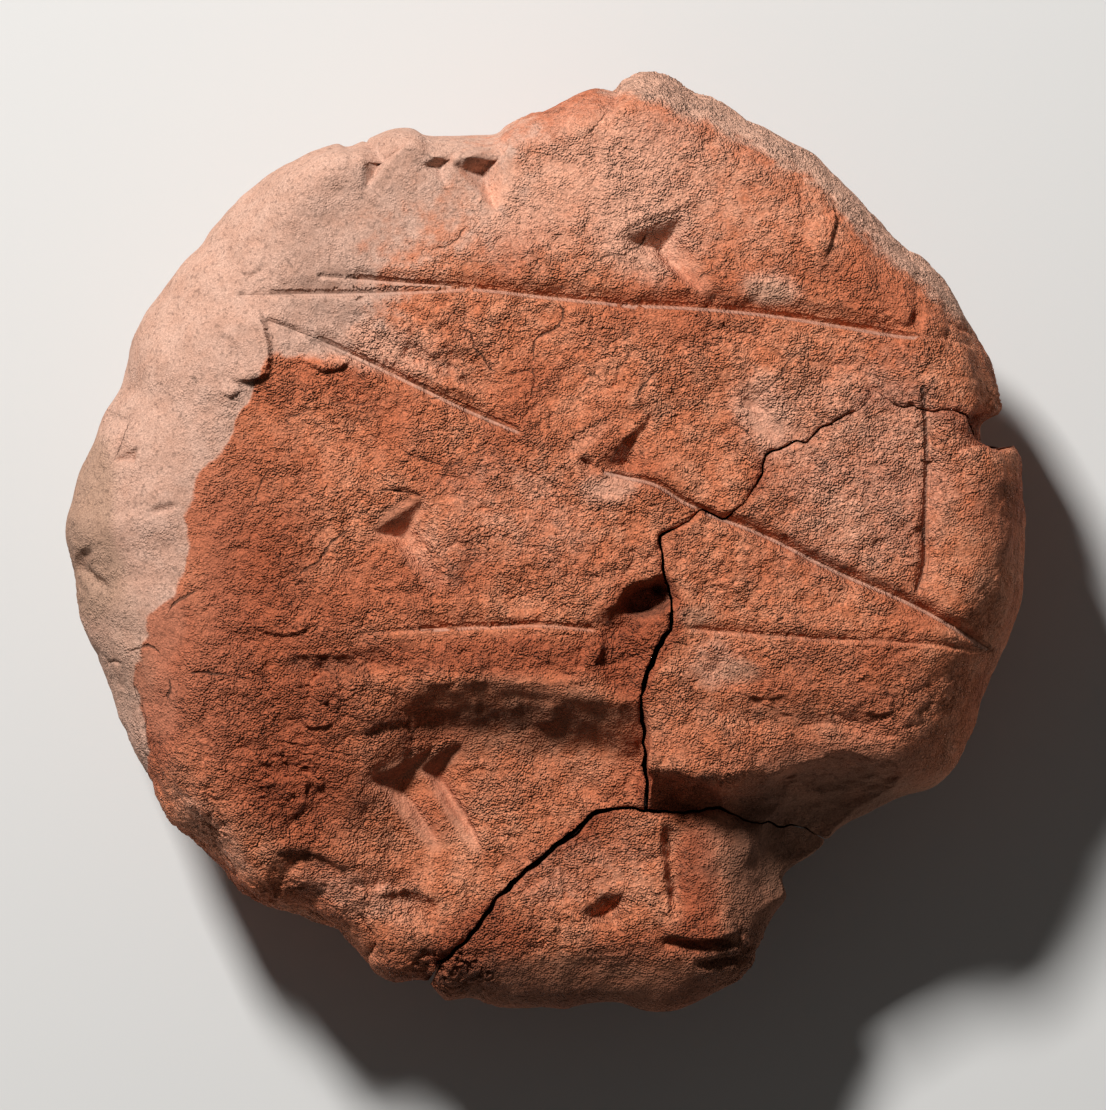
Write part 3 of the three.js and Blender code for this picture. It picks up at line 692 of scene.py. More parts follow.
# Where the reed or a finger left the clay smooth and a little paler: middle, half-sizes, turn,
# strength.
SMOOTH = [
    ((-11.2, -22.6), (3.4, 0.8), -52, 1.0), ((-7.5, -22.4), (3.8, 0.75), -58, 1.0),
    ((-10.6, -1.2), (3.2, 1.0), -55, 0.5), ((-3.9, 30.2), (1.0, 3.2), -14, 1.0),
    ((-13.4, 31.0), (1.0, 2.4), -35, 1.0), ((11.6, 22.6), (2.8, 1.0), -48, 0.8),
    ((17.9, 9.9), (2.6, 0.9), -55, 0.7), ((5.6, 4.6), (2.0, 0.9), 10, 0.8),
    ((26.0, -25.0), (12.0, 9.0), 0, 0.7), ((3.4, 8.6), (2.4, 0.7), 38, 0.5),
    ((-34.0, 6.0), (8.0, 26.0), 8, 0.35), ((-18.5, 26.0), (16.0, 7.5), 22, 0.45),
    ((-31.5, -6.8), (1.7, 2.8), 0, 0.4), ((-32.2, -12.8), (1.8, 3.6), 10, 0.4),
    ((-12.2, 1.9), (2.5, 1.3), 35, 0.8), ((-12.4, -18.8), (2.6, 1.1), 27, 0.7),
    ((-8.9, -18.1), (2.0, 0.8), 35, 0.7), ((9.3, 25.4), (2.6, 0.9), 22, 0.7),
    ((-5.6, 31.8), (2.2, 1.3), 25, 0.8),
]


def patches(p, rows, edge=0.6):
    """The rows' spots, each times its strength, added up and kept between 0 and 1."""
    spots = [strength * spot(p, at, half, turn, edge) for at, half, turn, strength in rows]
    return np.clip(np.sum(spots, axis=0), 0, 1)


def roughness(p):
    """The plain roughness with all the changes added, then lowered where the clay is smooth."""
    changes = (change * spot(p, at, half, turn, 0.5) for at, half, turn, change in ROUGH_SPOTS)
    value = PLAIN_ROUGHNESS + sum(changes)
    return np.clip(value * (1 - SMOOTHING * patches(p, SMOOTH, SMOOTH_EDGE)), LEAST_ROUGH, MOST_ROUGH)


print(len(ROUGH_SPOTS), "changes of roughness and", len(SMOOTH), "smooth patches")


# %% [markdown]
# ## Carving the skin
#
# Now everything is added up. The path of each tool is first made a little ragged by shifting
# the place where it is looked up. Then the height is added along the plain surface's normal,
# with lumps, grain and small flaking steps scaled by how rough the place is.

# %% The grain
LUMP_HEIGHT, LUMP_SIZE = 0.38, 8.0
FOLD_SIZE = 7.0
PILLOW_TOP = 0.5  # where a pillow goes flat
CREASE_WIDTH = 0.035
TERRACE_SIZE, TERRACES = 3.4, 2.6  # size, and how many steps there are in one unit of noise
GRIT_SIZE = 0.95


def grain(points, rough):
    """Broad swells, round lumps with creases between them, and where layers have flaked,
    small terraces and grit."""
    lumps = LUMP_HEIGHT * layered_noise(points, LUMP_SIZE, 3, 1.0)
    folds = layered_noise(points, FOLD_SIZE, 5, 5.0)
    pillows = np.minimum(np.abs(folds), PILLOW_TOP)  # round lumps, sharp where folds is 0
    crease = np.exp(-np.abs(folds) / CREASE_WIDTH) * rise(noise(points, 5.0, 7.0), -0.3, 0.1)
    flow = layered_noise(points, TERRACE_SIZE, 4, 2.0) * TERRACES
    steps = np.floor(flow) + rise(flow - np.floor(flow), 0.42, 0.58)
    flaked = rise(noise(points, 7.0, 11.0), 0.1, 0.4)  # only some places have flaked
    grit = layered_noise(points, GRIT_SIZE, 2, 3.0)
    fine = 0.9 * pillows - 0.25 * crease + (0.08 + 0.38 * flaked) * (steps - flow)
    fine += (0.03 + 0.15 * flaked) * grit
    return lumps + rough * fine


# %% The relief
RAGGED, RAGGED_SIZE = 0.12, 1.6  # how far the tools' paths wander, and how large the bends are
FOLLOW_FROM = 0.86  # the share of the way out at which the back begins to follow the rim
BREAK_RAGGED = 0.5  # how far the break's edge wanders
BACK_UNEVEN, BACK_FINE = 0.5, 0.05  # the back's broad and fine unevenness
BACK_SUNK = 0.9  # keeps its bumps inside the plain back


def relief(points):
    """Height in millimetres added to the plain front at each of its points."""
    ragged = [layered_noise(points, RAGGED_SIZE, 2, shift) for shift in (6.0, 9.0)]
    p = points[..., :2] + RAGGED * np.stack(ragged, axis=-1)
    carved = np.minimum(ruled_figure(p), stylus_dents(p)) + hollows(p)
    return carved + ledges(p) + crack_groove(p) + grain(points, roughness(p))


def normals(surface):
    """Outward normals of a grid, from the cross product of its two directions."""
    across = np.gradient(surface, axis=0)
    along = np.gradient(surface, axis=1)
    n = np.cross(across, along)
    return n / np.linalg.norm(n, axis=-1, keepdims=True)


def carried_over(edge_move):
    """How far each point of the back follows the rim point above it, and that rim point's own
    move. The share falls from 1 at the rim to nothing a little way down."""
    middle = (edge_move.shape[0] - 1) / 2
    i, j = np.indices(edge_move.shape[:2]) - middle
    out = np.maximum(np.maximum(np.abs(i), np.abs(j)) / middle, 0.01)
    rim_i = np.clip(np.rint(middle + i / out), 0, 2 * middle).astype(int)
    rim_j = np.clip(np.rint(middle + j / out), 0, 2 * middle).astype(int)
    return rise(out, FOLLOW_FROM, 1.0)[..., None], edge_move[rim_i, rim_j]


# %% Carving
plain_front = front
front = foot_pressed(front)
front_height = relief(front)
front = front + normals(front) * front_height[..., None]
follow, rim_move = carried_over((front - plain_front)[::2, ::2])
front = cut_break(front, BREAK_RAGGED * layered_noise(front, 3.0, 4, 12.0))
off_the_flat = rise(back[..., 2], 0.0, 1.5)  # the flat underneath stays flat
back_height = BACK_UNEVEN * (layered_noise(back, 11.0, 3, 20.0) - BACK_SUNK) * off_the_flat
back_height += BACK_FINE * layered_noise(back, 1.1, 2, 21.0) * off_the_flat
back = back - normals(back) * back_height[..., None] * (1 - follow) + rim_move * follow
print("front height in mm:", front_height.min().round(2), "to", front_height.max().round(2))

# %% [markdown]
# ## One closed skin
#
# The back's grid is half as fine as the front's, so its edge meets every second point of the
# front's edge. The points between are joined by thin triangles, and the skin is closed.

# %% Joining front and back
def ring_of(count):
    """Numbers of the points round a square grid's edge, in order."""
    grid = np.arange(count * count).reshape(count, count)
    return np.concatenate([grid[:-1, 0], grid[-1, :-1], grid[:0:-1, -1], grid[0, :0:-1]])


def cells(count):
    """The four corners of each grid cell."""
    grid = np.arange(count * count).reshape(count, count)
    corners = [grid[:-1, :-1], grid[1:, :-1], grid[1:, 1:], grid[:-1, 1:]]
    return np.stack(corners, axis=-1).reshape(-1, 4)


def closed_skin(front, back):
    """Points and faces of both grids, with the back's edge points replaced by the front's."""
    fine, coarse = front.shape[0], back.shape[0]
    front_ring, back_ring = ring_of(fine), ring_of(coarse)
    number = np.arange(coarse * coarse) + fine * fine
    number[back_ring] = front_ring[::2]
    back_cells = number[cells(coarse)][:, ::-1]
    between = np.stack([front_ring[::2], np.roll(front_ring, -2)[::2], front_ring[1::2]], axis=-1)
    points = np.vstack([front.reshape(-1, 3), back.reshape(-1, 3)])
    faces = cells(fine).tolist() + back_cells.tolist() + between.tolist()
    return points, faces


def mesh_object(name, points, faces):
    """A mesh object at the origin, from points in millimetres."""
    mesh = bpy.data.meshes.new(name)
    mesh.from_pydata(points * MM, [], faces)
    mesh.validate()
    obj = bpy.data.objects.new(name, mesh)
    bpy.context.scene.collection.objects.link(obj)
    return obj


skin_points, skin_faces = closed_skin(front, back)
whole = mesh_object("whole_tablet", skin_points, skin_faces)
print("the whole skin has", len(whole.data.polygons), "faces")

# %% [markdown]
# ## Three fragments
#
# The skin is parted with two blocks whose near wall is the crack. Near the face the wall follows
# the crack's path exactly, and deeper down it wanders, as a real fracture does. Each fragment is
# cut with its own copy of the wall, moved aside by half of the gap, so the gap can be open in
# one place and closed to a hairline in another.

# %% Fracture blocks
CRACK_LEVELS = np.linspace(-2.0, THICKNESS + 3.0, 25)
# How wide each gap is: share of the way along the crack, width.
UPPER_GAPS = [
    (0, 0.30), (0.08, 0.14), (0.2, 0.06), (0.34, 0.16), (0.5, 0.12), (0.6, 0.2), (0.72, 0.32),
    (1, 0.34),
]
LOWER_GAPS = [(0, 0.34), (0.45, 0.44), (0.58, 0.3), (0.75, 0.2), (1, 0.10)]
GAP_UNEVEN = 0.7  # how much of its width the gap changes by
WALL_STEP = 0.3  # between two points of a wall
WALL_HELD = 3  # the length over which a wall keeps still at its ends
NEAR_WANDER, DEEP_WANDER = 0.12, 0.7  # near the face, and deep down
DEEP = (2.0, 12.0)  # the depths between which the wall begins to wander
FAR = 60.0  # a distance well clear of the tablet


def fracture_wall(path, gaps, side):
    """Points of the wall, level by level: the path cut in short steps, moved by noise, and
    pushed to its left by half of the gap times side."""
    path = np.asarray(path, float)
    walked = np.concatenate([[0], np.cumsum(np.linalg.norm(np.diff(path, axis=0), axis=1))])
    even = np.linspace(0, walked[-1], int(walked[-1] / WALL_STEP))
    line = np.stack([np.interp(even, walked, path[:, i]) for i in (0, 1)], axis=-1)
    way = np.gradient(line, axis=0)
    left = np.stack([-way[:, 1], way[:, 0]], axis=-1) / np.linalg.norm(way, axis=1, keepdims=True)
    flat = np.repeat(line[None], len(CRACK_LEVELS), axis=0)
    heights = np.repeat(CRACK_LEVELS, len(line)).reshape(len(CRACK_LEVELS), -1, 1)
    places = np.concatenate([flat, heights], axis=-1)
    surface = places * [1, 1, 0] + [0, 0, THICKNESS]
    deep = rise(THICKNESS - CRACK_LEVELS, *DEEP)[:, None]
    wander = NEAR_WANDER * layered_noise(surface, 1.0, 2, 30.0)
    wander = wander + deep * (DEEP_WANDER * layered_noise(places, 8.0, 3, 31.0))
    gap = np.interp(even / walked[-1], *np.array(gaps).T)
    gap = gap * (1 + GAP_UNEVEN * noise(surface, 1.6, 33.0))
    held = rise(even, 0, WALL_HELD) * rise(walked[-1] - even, 0, WALL_HELD)
    moved = wander * held + side * gap / 2
    places[..., :2] += moved[..., None] * left
    return places


def fracture_block(name, wall, corners_before, corners_after):
    """A closed block: at each level, the wall's points and a few far corners."""
    def column(corners):
        flat = np.repeat(np.array(corners, float)[None], len(CRACK_LEVELS), axis=0)
        heights = np.repeat(CRACK_LEVELS, len(corners)).reshape(len(CRACK_LEVELS), -1, 1)
        return np.concatenate([flat, heights], axis=-1)

    rings = np.concatenate([column(corners_before), wall, column(corners_after)], axis=1)
    levels, count = rings.shape[:2]
    grid = np.arange(levels * count).reshape(levels, count)
    beside = np.roll(grid, -1, axis=1)
    sides = np.stack([grid[:-1], beside[:-1], beside[1:], grid[1:]], axis=-1).reshape(-1, 4)
    faces = sides.tolist() + [grid[0, ::-1].tolist(), grid[-1].tolist()]
    x, y = rings[-1, :, 0], rings[-1, :, 1]
    if np.sum(x * np.roll(y, -1) - y * np.roll(x, -1)) < 0:  # clockwise, so inside out
        faces = [face[::-1] for face in faces]
    return mesh_object(name, rings.reshape(-1, 3), faces)


def below_lower_crack(side):
    """The lower crack's wall, closed by corners far below and to the right."""
    wall = fracture_wall(LOWER_CRACK, LOWER_GAPS, side)
    after = [(FAR, -29), (FAR, -FAR), (-12, -FAR)]
    return fracture_block("below_lower_crack", wall, [(-12, -40)], after)


def right_of_upper_crack(side):
    """The upper crack's wall, closed by corners far to the right and below."""
    wall = fracture_wall(UPPER_CRACK, UPPER_GAPS, side)
    return fracture_block("right_of_upper_crack", wall, [(FAR, 8.2)], [(8.3, -FAR), (FAR, -FAR)])


print("the walls of the fractures have", len(CRACK_LEVELS), "levels")


# %% [markdown]
# ## Cutting
#
# Blender's Boolean modifier does the cutting. The skin carries a second material, meant for the
# fractures. Where a fragment has more triangles than it needs, Decimate takes them from its smoothest
# places.

# %% Cutting the fragments
TRIANGLES = 192_000  # the most in one fragment


def applied(obj, name):
    """A new object with the shape that obj's modifiers give."""
    shaped = obj.evaluated_get(bpy.context.evaluated_depsgraph_get())
    mesh = bpy.data.meshes.new_from_object(shaped)
    result = bpy.data.objects.new(name, mesh)
    bpy.context.scene.collection.objects.link(result)
    return result


def cut(obj, block, operation, name):
    """A new object: obj less the block, or what obj and the block share. The block goes."""
    modifier = obj.modifiers.new("cut", "BOOLEAN")
    modifier.operation = operation
    modifier.solver = "MANIFOLD"
    modifier.object = block
    result = applied(obj, name)
    obj.modifiers.remove(modifier)
    bpy.data.objects.remove(block)
    return result


def thinned(obj):
    """The same object with at most TRIANGLES triangles."""
    count = sum(len(face.vertices) - 2 for face in obj.data.polygons)
    if count <= TRIANGLES:
        return obj
    modifier = obj.modifiers.new("thin", "DECIMATE")
    modifier.ratio = TRIANGLES / count
    result = applied(obj, obj.name + "_thin")
    bpy.data.objects.remove(obj)
    return result


def kept_inside(obj):
    """Points that stand out of the CAD box, by less than a grain, are pressed back to it."""
    points = np.empty(len(obj.data.vertices) * 3)
    obj.data.vertices.foreach_get("co", points)
    inside = np.clip(points.reshape(-1, 3), CAD_LOW * MM, CAD_HIGH * MM)
    obj.data.vertices.foreach_set("co", inside.ravel())
    return inside / MM


# %% The three fragments
skin_finish = bpy.data.materials.new("clay_skin")
fracture_finish = bpy.data.materials.new("clay_fracture")
for finish in (skin_finish, fracture_finish):
    whole.data.materials.append(finish)

upper = cut(whole, below_lower_crack(1), "DIFFERENCE", "upper_part")
lower = cut(whole, below_lower_crack(-1), "INTERSECT", "lower_fragment_clay")
main = cut(upper, right_of_upper_crack(-1), "DIFFERENCE", "main_fragment_clay")
right = cut(upper, right_of_upper_crack(1), "INTERSECT", "right_fragment_clay")
bpy.data.objects.remove(upper)
bpy.data.objects.remove(whole)
fragments = {
    "main_fragment": thinned(main),
    "right_fragment": thinned(right),
    "lower_fragment": thinned(lower),
}
for node, piece in fragments.items():
    piece.name = node + "_clay"
    print(piece.name, "faces", len(piece.data.polygons))

# %% [markdown]
# ## Where each colour lies
#
# The clay is orange, with a pale pinkish slip over its left side and along the upper rim, red
# stains beside the cracks, dusty patches that partly paint light, and patches of painted shade. Each
# zone is worked out for every point of the mesh and kept in it as a named attribute, which the
# material then reads. A zone's edge is kept as a distance, so the material can break it up more finely than
# the mesh.

# %% Edges of the slip and of the rim's band
EVERYWHERE = 200.0  # a reach that takes in the whole tablet

SLIP_EDGE = [
    (-1.5, 46.0), (-3.0, 33.5), (-4.0, 30.0), (-7.0, 27.0), (-10.0, 25.0), (-13.0, 22.5),
    (-12.0, 20.5), (-14.0, 18.5), (-16.5, 16.0), (-20.0, 15.2), (-22.9, 15.0), (-24.2, 12.8),
    (-25.4, 10.0), (-26.4, 7.2), (-28.8, 5.0), (-30.0, 2.0), (-29.4, -2.0), (-30.6, -4.0),
    (-33.0, -6.5), (-33.6, -10.0), (-33.2, -15.0), (-32.6, -18.0), (-35.0, -22.0), (-46.0, -30.0),
]
RIM_BAND_EDGE = [
    (46.0, 8.0), (37.5, 15.0), (34.8, 17.5), (31.0, 20.8), (27.8, 23.4), (24.8, 26.2), (23.2, 28.2),
    (21.2, 30.0), (18.5, 31.4), (15.5, 33.2), (12.5, 34.6), (8.5, 36.2), (4.5, 36.9), (0.0, 46.0),
]


def zone(p, edge, reach=9.0):
    """Distance into the zone on the right of its edge, in mm, at most reach either way."""
    side, _ = measure(p, edge, EVERYWHERE)
    return np.clip(-side, -reach, reach)


# %% Stains, dust, and painted light and shade
# Red stains. Each row is a patch: middle, half-sizes, turn, strength.
STAINS = [
    ((28.8, 12.2), (3.4, 1.2), 8, 0.75), ((34.8, 9.6), (3.0, 1.2), -30, 0.7),
    ((8.0, -6.5), (3.4, 3.4), 0, 0.9), ((6.6, -10.5), (2.0, 3.4), 5, 0.8),
    ((11.2, -20.8), (3.6, 1.8), -12, 0.9), ((12.6, -28.0), (1.8, 5.0), 5, 0.9),
    ((-5.5, -33.6), (4.6, 3.4), 20, 0.9), ((8.5, -33.4), (6.0, 2.0), 5, 0.6),
    ((3.0, -24.2), (2.6, 1.2), 30, 0.6), ((-23.0, 4.0), (6.0, 7.0), -10, 0.5),
    ((-32.6, -13.0), (2.0, 4.0), 10, 0.7), ((-31.5, -6.8), (1.9, 3.0), 0, 0.5),
    ((-4.0, -9.4), (10.0, 2.0), 0, 0.75), ((-4.0, -19.5), (7.0, 3.0), 0, 0.35),
    ((-14.0, 13.0), (5.0, 2.0), -25, 0.3), ((0.5, 22.0), (4.0, 1.8), 0, 0.35),
    ((17.8, 5.8), (1.2, 2.2), 0, 0.4), ((-24.0, -12.0), (9.5, 11.5), 25, 0.75),
    ((-18.0, -22.0), (6.0, 4.0), -30, 0.35), ((26.0, -11.5), (10.0, 3.5), -5, 0.45),
]
# Dust, and painted light: the two rows at the lower left and those on the wedges' tails make the faces that
# turn to the lamp paler.
DUST_AND_PAINTED_LIGHT = [
    ((13.0, 30.0), (14.0, 7.0), -12, 0.35), ((3.5, 29.0), (9.0, 7.0), 0, 0.4),
    ((18.6, 20.8), (2.6, 1.4), -8, 0.6), ((-18.0, 17.4), (5.0, 2.4), -15, 0.8),
    ((-12.0, 15.6), (5.0, 2.4), -20, 0.5), ((26.5, 7.0), (9.0, 9.0), 0, 0.5),
    ((-15.5, -29.0), (5.5, 2.2), -15, 0.45), ((-27.5, -24.0), (5.0, 1.4), -48, 0.45),
    ((4.5, -27.5), (8.0, 4.5), 10, 0.2), ((26.0, -4.0), (9.0, 6.0), -25, 0.12),
    ((-2.0, 2.5), (8.0, 5.0), 0, 0.35), ((-6.0, 27.0), (6.0, 5.0), 0, 0.4),
    ((17.5, 11.0), (2.4, 3.4), 20, 0.5), ((5.5, 4.6), (2.4, 1.2), 0, 0.45),
    ((-9.5, -1.5), (2.0, 3.4), 30, 0.25), ((-7.5, -22.5), (4.0, 3.6), -60, 0.15),
    ((13.8, -10.0), (2.6, 2.4), 0, 0.5), ((2.0, -27.5), (5.0, 2.6), 10, 0.15),
    ((8.0, 24.0), (3.6, 3.0), -45, 0.35), ((-4.5, 29.0), (1.6, 2.6), 0, 0.8),
]
GREY = [
    ((-38.5, 1.5), (2.0, 6.5), 0, 0.8), ((18.2, 20.5), (2.4, 1.2), -8, 0.6),
    ((-37.5, -2.5), (2.2, 3.0), 0, 0.6), ((25.0, -25.0), (11.0, 8.0), 0, 0.7),
    ((-8.0, 14.0), (6.0, 2.6), -20, 0.25), ((12.5, -6.0), (2.0, 1.0), 0, 0.6),
    ((16.0, -10.6), (2.0, 1.2), 0, 0.6), ((-37.0, 5.0), (1.6, 4.0), 0, 0.5),
    ((-35.5, -8.0), (3.0, 8.0), 10, 0.45), ((-35.0, 4.0), (4.0, 8.0), 0, 0.15),
    ((37.0, -2.0), (3.0, 10.0), 0, 0.4),
]
# Painted shade: the clay is made darker where shade falls. That is in the trough, the hole and the hollows,
# under ledges, on the wedges' heads, on the break and the foot, and on faces turned from the light.
PAINTED_SHADE_PATCHES = [
    ((24.0, -26.0), (11.0, 8.5), 0, 0.55), ((8.3, -4.8), (2.2, 1.4), 22, 0.8),
    ((3.5, -36.8), (15.0, 3.0), 0, 0.9), ((17.9, -28.0), (2.4, 6.5), 0, 0.95),
    ((25.0, -11.5), (7.0, 2.4), -8, 0.2), ((37.0, 2.0), (2.6, 9.0), -10, 0.2),
    ((-2.5, -16.0), (9.5, 2.2), -3, 0.4), ((-18.5, -10.0), (3.5, 0.8), 0, 0.5),
    ((17.0, -34.0), (3.0, 5.0), -30, 0.5), ((19.5, -14.3), (4.5, 1.0), -8, 0.5),
    ((12.5, -12.0), (1.3, 2.2), 40, 0.35), ((-24.4, 13.4), (1.4, 0.4), 0, 0.6),
    ((-38.5, -1.5), (1.2, 1.0), 0, 0.5), ((-19.6, -26.0), (3.0, 0.8), -10, 0.5),
    ((-8.5, 15.6), (6.5, 1.6), -22, 0.15), ((-12.4, -18.8), (2.2, 0.9), 27, 0.5),
    ((-8.9, -18.1), (1.7, 0.7), 35, 0.5), ((-1.5, -13.4), (9.5, 2.0), -4, 0.6),
    ((-5.6, 32.0), (1.8, 0.8), 25, 0.35), ((-12.0, 1.9), (1.9, 0.7), 35, 0.4),
    ((9.2, 25.3), (2.4, 0.7), 22, 0.4),
]

# The dark patches among these are painted shade.
print(len(STAINS + DUST_AND_PAINTED_LIGHT + GREY + PAINTED_SHADE_PATCHES), "patches of stain, dust and dirt")

# %% Cracks and lines, for the material
LINE_REACH = 3.0  # how far from a ruled line its distance is kept
LINE_WORN = 0.06  # share of a ruled line that fades at each end
LINE_SIDE = (0.28, 0.42)  # distances over which a line's depth is forgotten
HAIRLINE_FADE = 0.25  # share of a hairline that narrows at each end
NO_HAIRLINE = 9.0  # the distance where there is none


def store(mesh, name, values):
    """The values as a named attribute of the mesh's points."""
    attribute = mesh.attributes.new(name, "FLOAT", "POINT")
    attribute.data.foreach_set("value", np.asarray(values, np.float32))


def near_crack(p, path, width):
    """1 on the path, falling in a straight line to 0 at the width."""
    side, _ = measure(p, path, width)
    return np.clip(1 - np.abs(side) / width, 0, 1)


def hairline_distance(p):
    """Distance from the nearest hairline crack, less than 0 on its right, and at most 1. It is
    divided by a number that falls towards a crack's ends, so a crack drawn by it narrows there."""
    best = np.full(p.shape[:-1], NO_HAIRLINE)
    for path in HAIRLINES:
        side, share = measure(p, smooth_path(path, 4), 1.0)
        side = side / np.clip(ends(share, HAIRLINE_FADE), 0.05, 1)
        best = np.where(np.abs(side) < np.abs(best), side, best)
    return np.clip(best, -1, 1)


def nearest_line(p):
    """How far a point is from the nearest ruled line, less than 0 below it, and how deep that
    line is there."""
    best = np.full(p.shape[:-1], LINE_REACH)
    depth_there = np.zeros(p.shape[:-1])
    for path, _, _, depth in RULED_LINES:
        side, share = measure(p, smooth_path(path, 6), LINE_REACH)
        closer = np.abs(side) < np.abs(best)
        best = np.where(closer, side, best)
        depth_there = np.where(closer, depth * ends(share, LINE_WORN), depth_there)
    return best, depth_there * (1 - rise(np.abs(best), *LINE_SIDE))


# %% Every zone
SLIP_SOFT, SLIP_FADED = 0.35, 7.0  # width of the slip's edge below, and what is added above
SLIP_FADES = (14, 24)  # y between which that happens
SLIP_RAGGED = 0.7  # how far the slip's edge wanders
STAINED_BY_CRACKS = 1.1  # how far from a crack the clay is stained,
CRACK_STAIN = 0.5  # and how strongly
EDGE_ROUND = 3  # stains and dust fade out this far above and below the rim
SHARP_ANGLE = 70  # degrees: the fractures' edges look sharp, the skin's folds don't


def zones(points):
    """Every zone's value at each point, under the name of its attribute."""
    p = points[:, :2]
    line, line_depth = nearest_line(p)
    facing_up = rise(points[:, 2], RIM_HEIGHT - EDGE_ROUND, RIM_HEIGHT + EDGE_ROUND)
    cracks = np.maximum(*(near_crack(p, path, STAINED_BY_CRACKS) for path in (UPPER_CRACK, LOWER_CRACK)))
    soft = SLIP_SOFT + SLIP_FADED * rise(p[:, 1], *SLIP_FADES)
    ragged = SLIP_RAGGED * layered_noise(points, 3.2, 3, 40.0)
    return {
        "line": line,
        "line_depth": line_depth,
        "smooth": patches(p, SMOOTH, SMOOTH_EDGE),
        "slip": (zone(p, SLIP_EDGE) + ragged) / soft,
        "rim_band": zone(p, RIM_BAND_EDGE),
        "rough": roughness(p),
        "stain": np.clip(patches(p, STAINS) + CRACK_STAIN * cracks, 0, 1) * facing_up,
        "dust": patches(p, DUST_AND_PAINTED_LIGHT) * facing_up,
        "grey": patches(p, GREY),
        "dark": patches(p, PAINTED_SHADE_PATCHES),
        "hairline": hairline_distance(p),
    }


for piece in fragments.values():
    values_by_name = zones(kept_inside(piece))
    for name, values in values_by_name.items():
        store(piece.data, name, values)
    piece.data.shade_smooth()
    piece.data.set_sharp_from_angle(angle=math.radians(SHARP_ANGLE))
    print(piece.name, "carries", len(values_by_name), "zones")

# %% [markdown]
# ## The clay's finish
#
# The material is built from a few helpers that add one node each. Colours are mixed by the
# attributes, and each edge is broken up by noise on the object's own coordinates.

# %% Formulas made of nodes
def node(tree, kind, inputs=(), **settings):
    """One node, with its settings, and each input linked or set to a value."""
    made = tree.nodes.new(kind)
    for name, setting in settings.items():
        setattr(made, name, setting)
    for name, value in dict(inputs).items():
        feed(made.inputs[name], value)
    return made


def feed(socket, value):
    """Links what a node works out to an input, or sets the input to a number or a colour."""
    if isinstance(value, Value):
        value.tree.links.new(value.socket, socket)
    else:
        socket.default_value = value


class Value:
    """What a node works out. Each +, - or * between values, and each abs, is one more node."""

    def __init__(self, socket):
        self.socket = socket
        self.tree = socket.id_data

    def math(self, operation, a, b=0.0, clamp=False):
        """The result of one sum on a and b."""
        made = node(self.tree, "ShaderNodeMath", {0: a, 1: b}, operation=operation, use_clamp=clamp)
        return Value(made.outputs[0])

    def __add__(self, other):
        return self.math("ADD", self, other)

    def __radd__(self, other):
        return self.math("ADD", other, self)

    def __sub__(self, other):
        return self.math("SUBTRACT", self, other)

    def __mul__(self, other):
        return self.math("MULTIPLY", self, other)

    def __abs__(self):
        return self.math("ABSOLUTE", self)

    def taken_from(self, whole, clamp=False):
        """The whole less the value; a clamped one stays between 0 and 1."""
        return self.math("SUBTRACT", whole, self, clamp)

    def ramp(self, low, high, to_low=0.0, to_high=1.0):
        """A smooth ramp: to_low where the value is below low, to_high where it is above high."""
        inputs = {"Value": self, "From Min": low, "From Max": high, "To Min": to_low, "To Max": to_high}
        made = node(self.tree, "ShaderNodeMapRange", inputs, interpolation_type="SMOOTHSTEP")
        return Value(made.outputs["Result"])

    def place(self, operation, other):
        """The same as math, on the three numbers of a place."""
        made = node(self.tree, "ShaderNodeVectorMath", {0: self, 1: other}, operation=operation)
        return Value(made.outputs[0])


# %% Patterns and colours
def own_place(tree):
    """The place on the piece, in the piece's own coordinates."""
    return Value(node(tree, "ShaderNodeTexCoord").outputs["Object"])


def attribute(tree, name):
    """A zone's value, from the mesh."""
    return Value(node(tree, "ShaderNodeAttribute", attribute_name=name).outputs["Fac"])


def speckle(where, size, layers=2.0, roughness=0.5, output="Fac"):
    """Noise whose lumps are about size millimetres across, from 0 to 1."""
    look = {"Vector": where, "Scale": 1 / (size * MM), "Detail": layers, "Roughness": roughness}
    return Value(node(where.tree, "ShaderNodeTexNoise", look).outputs[output])


def crevices(where, size, wide):
    """Thin lines between cells about size millimetres across, bent by noise."""
    bend = speckle(where, size * 0.8, output="Color").place("SUBTRACT", (0.5, 0.5, 0.5))
    bent = where.place("ADD", bend.place("MULTIPLY", (size * 1.6 * MM,) * 3))
    cell = node(where.tree, "ShaderNodeTexVoronoi", {"Vector": bent, "Scale": 1 / (size * MM)},
                feature="DISTANCE_TO_EDGE", voronoi_dimensions="2D")
    return Value(cell.outputs["Distance"]).ramp(0, wide, 1, 0)


def blended(share, a, b, mode="MIX"):
    """Colour a where share is 0 and colour b where it is 1."""
    tree = next(value.tree for value in (share, a) if isinstance(value, Value))
    made = node(tree, "ShaderNodeMix", data_type="RGBA", blend_type=mode)
    for name, value in (("Factor", share), ("A", a), ("B", b)):
        feed([s for s in made.inputs if s.name == name and s.enabled][0], value)
    return Value([s for s in made.outputs if s.enabled][0])


def clay_surface(colour, height, distance, dullness, gloss):
    """A shader of one colour, with a bump that stands height times distance high."""
    bump = {"Height": height, "Strength": 1.0, "Distance": distance}
    bumped = Value(node(colour.tree, "ShaderNodeBump", bump).outputs[0])
    look = {"Base Color": colour, "Roughness": dullness, "Specular IOR Level": gloss, "Normal": bumped}
    clay = Value(node(colour.tree, "ShaderNodeBsdfPrincipled", look).outputs[0])
    node(colour.tree, "ShaderNodeOutputMaterial", {"Surface": clay})


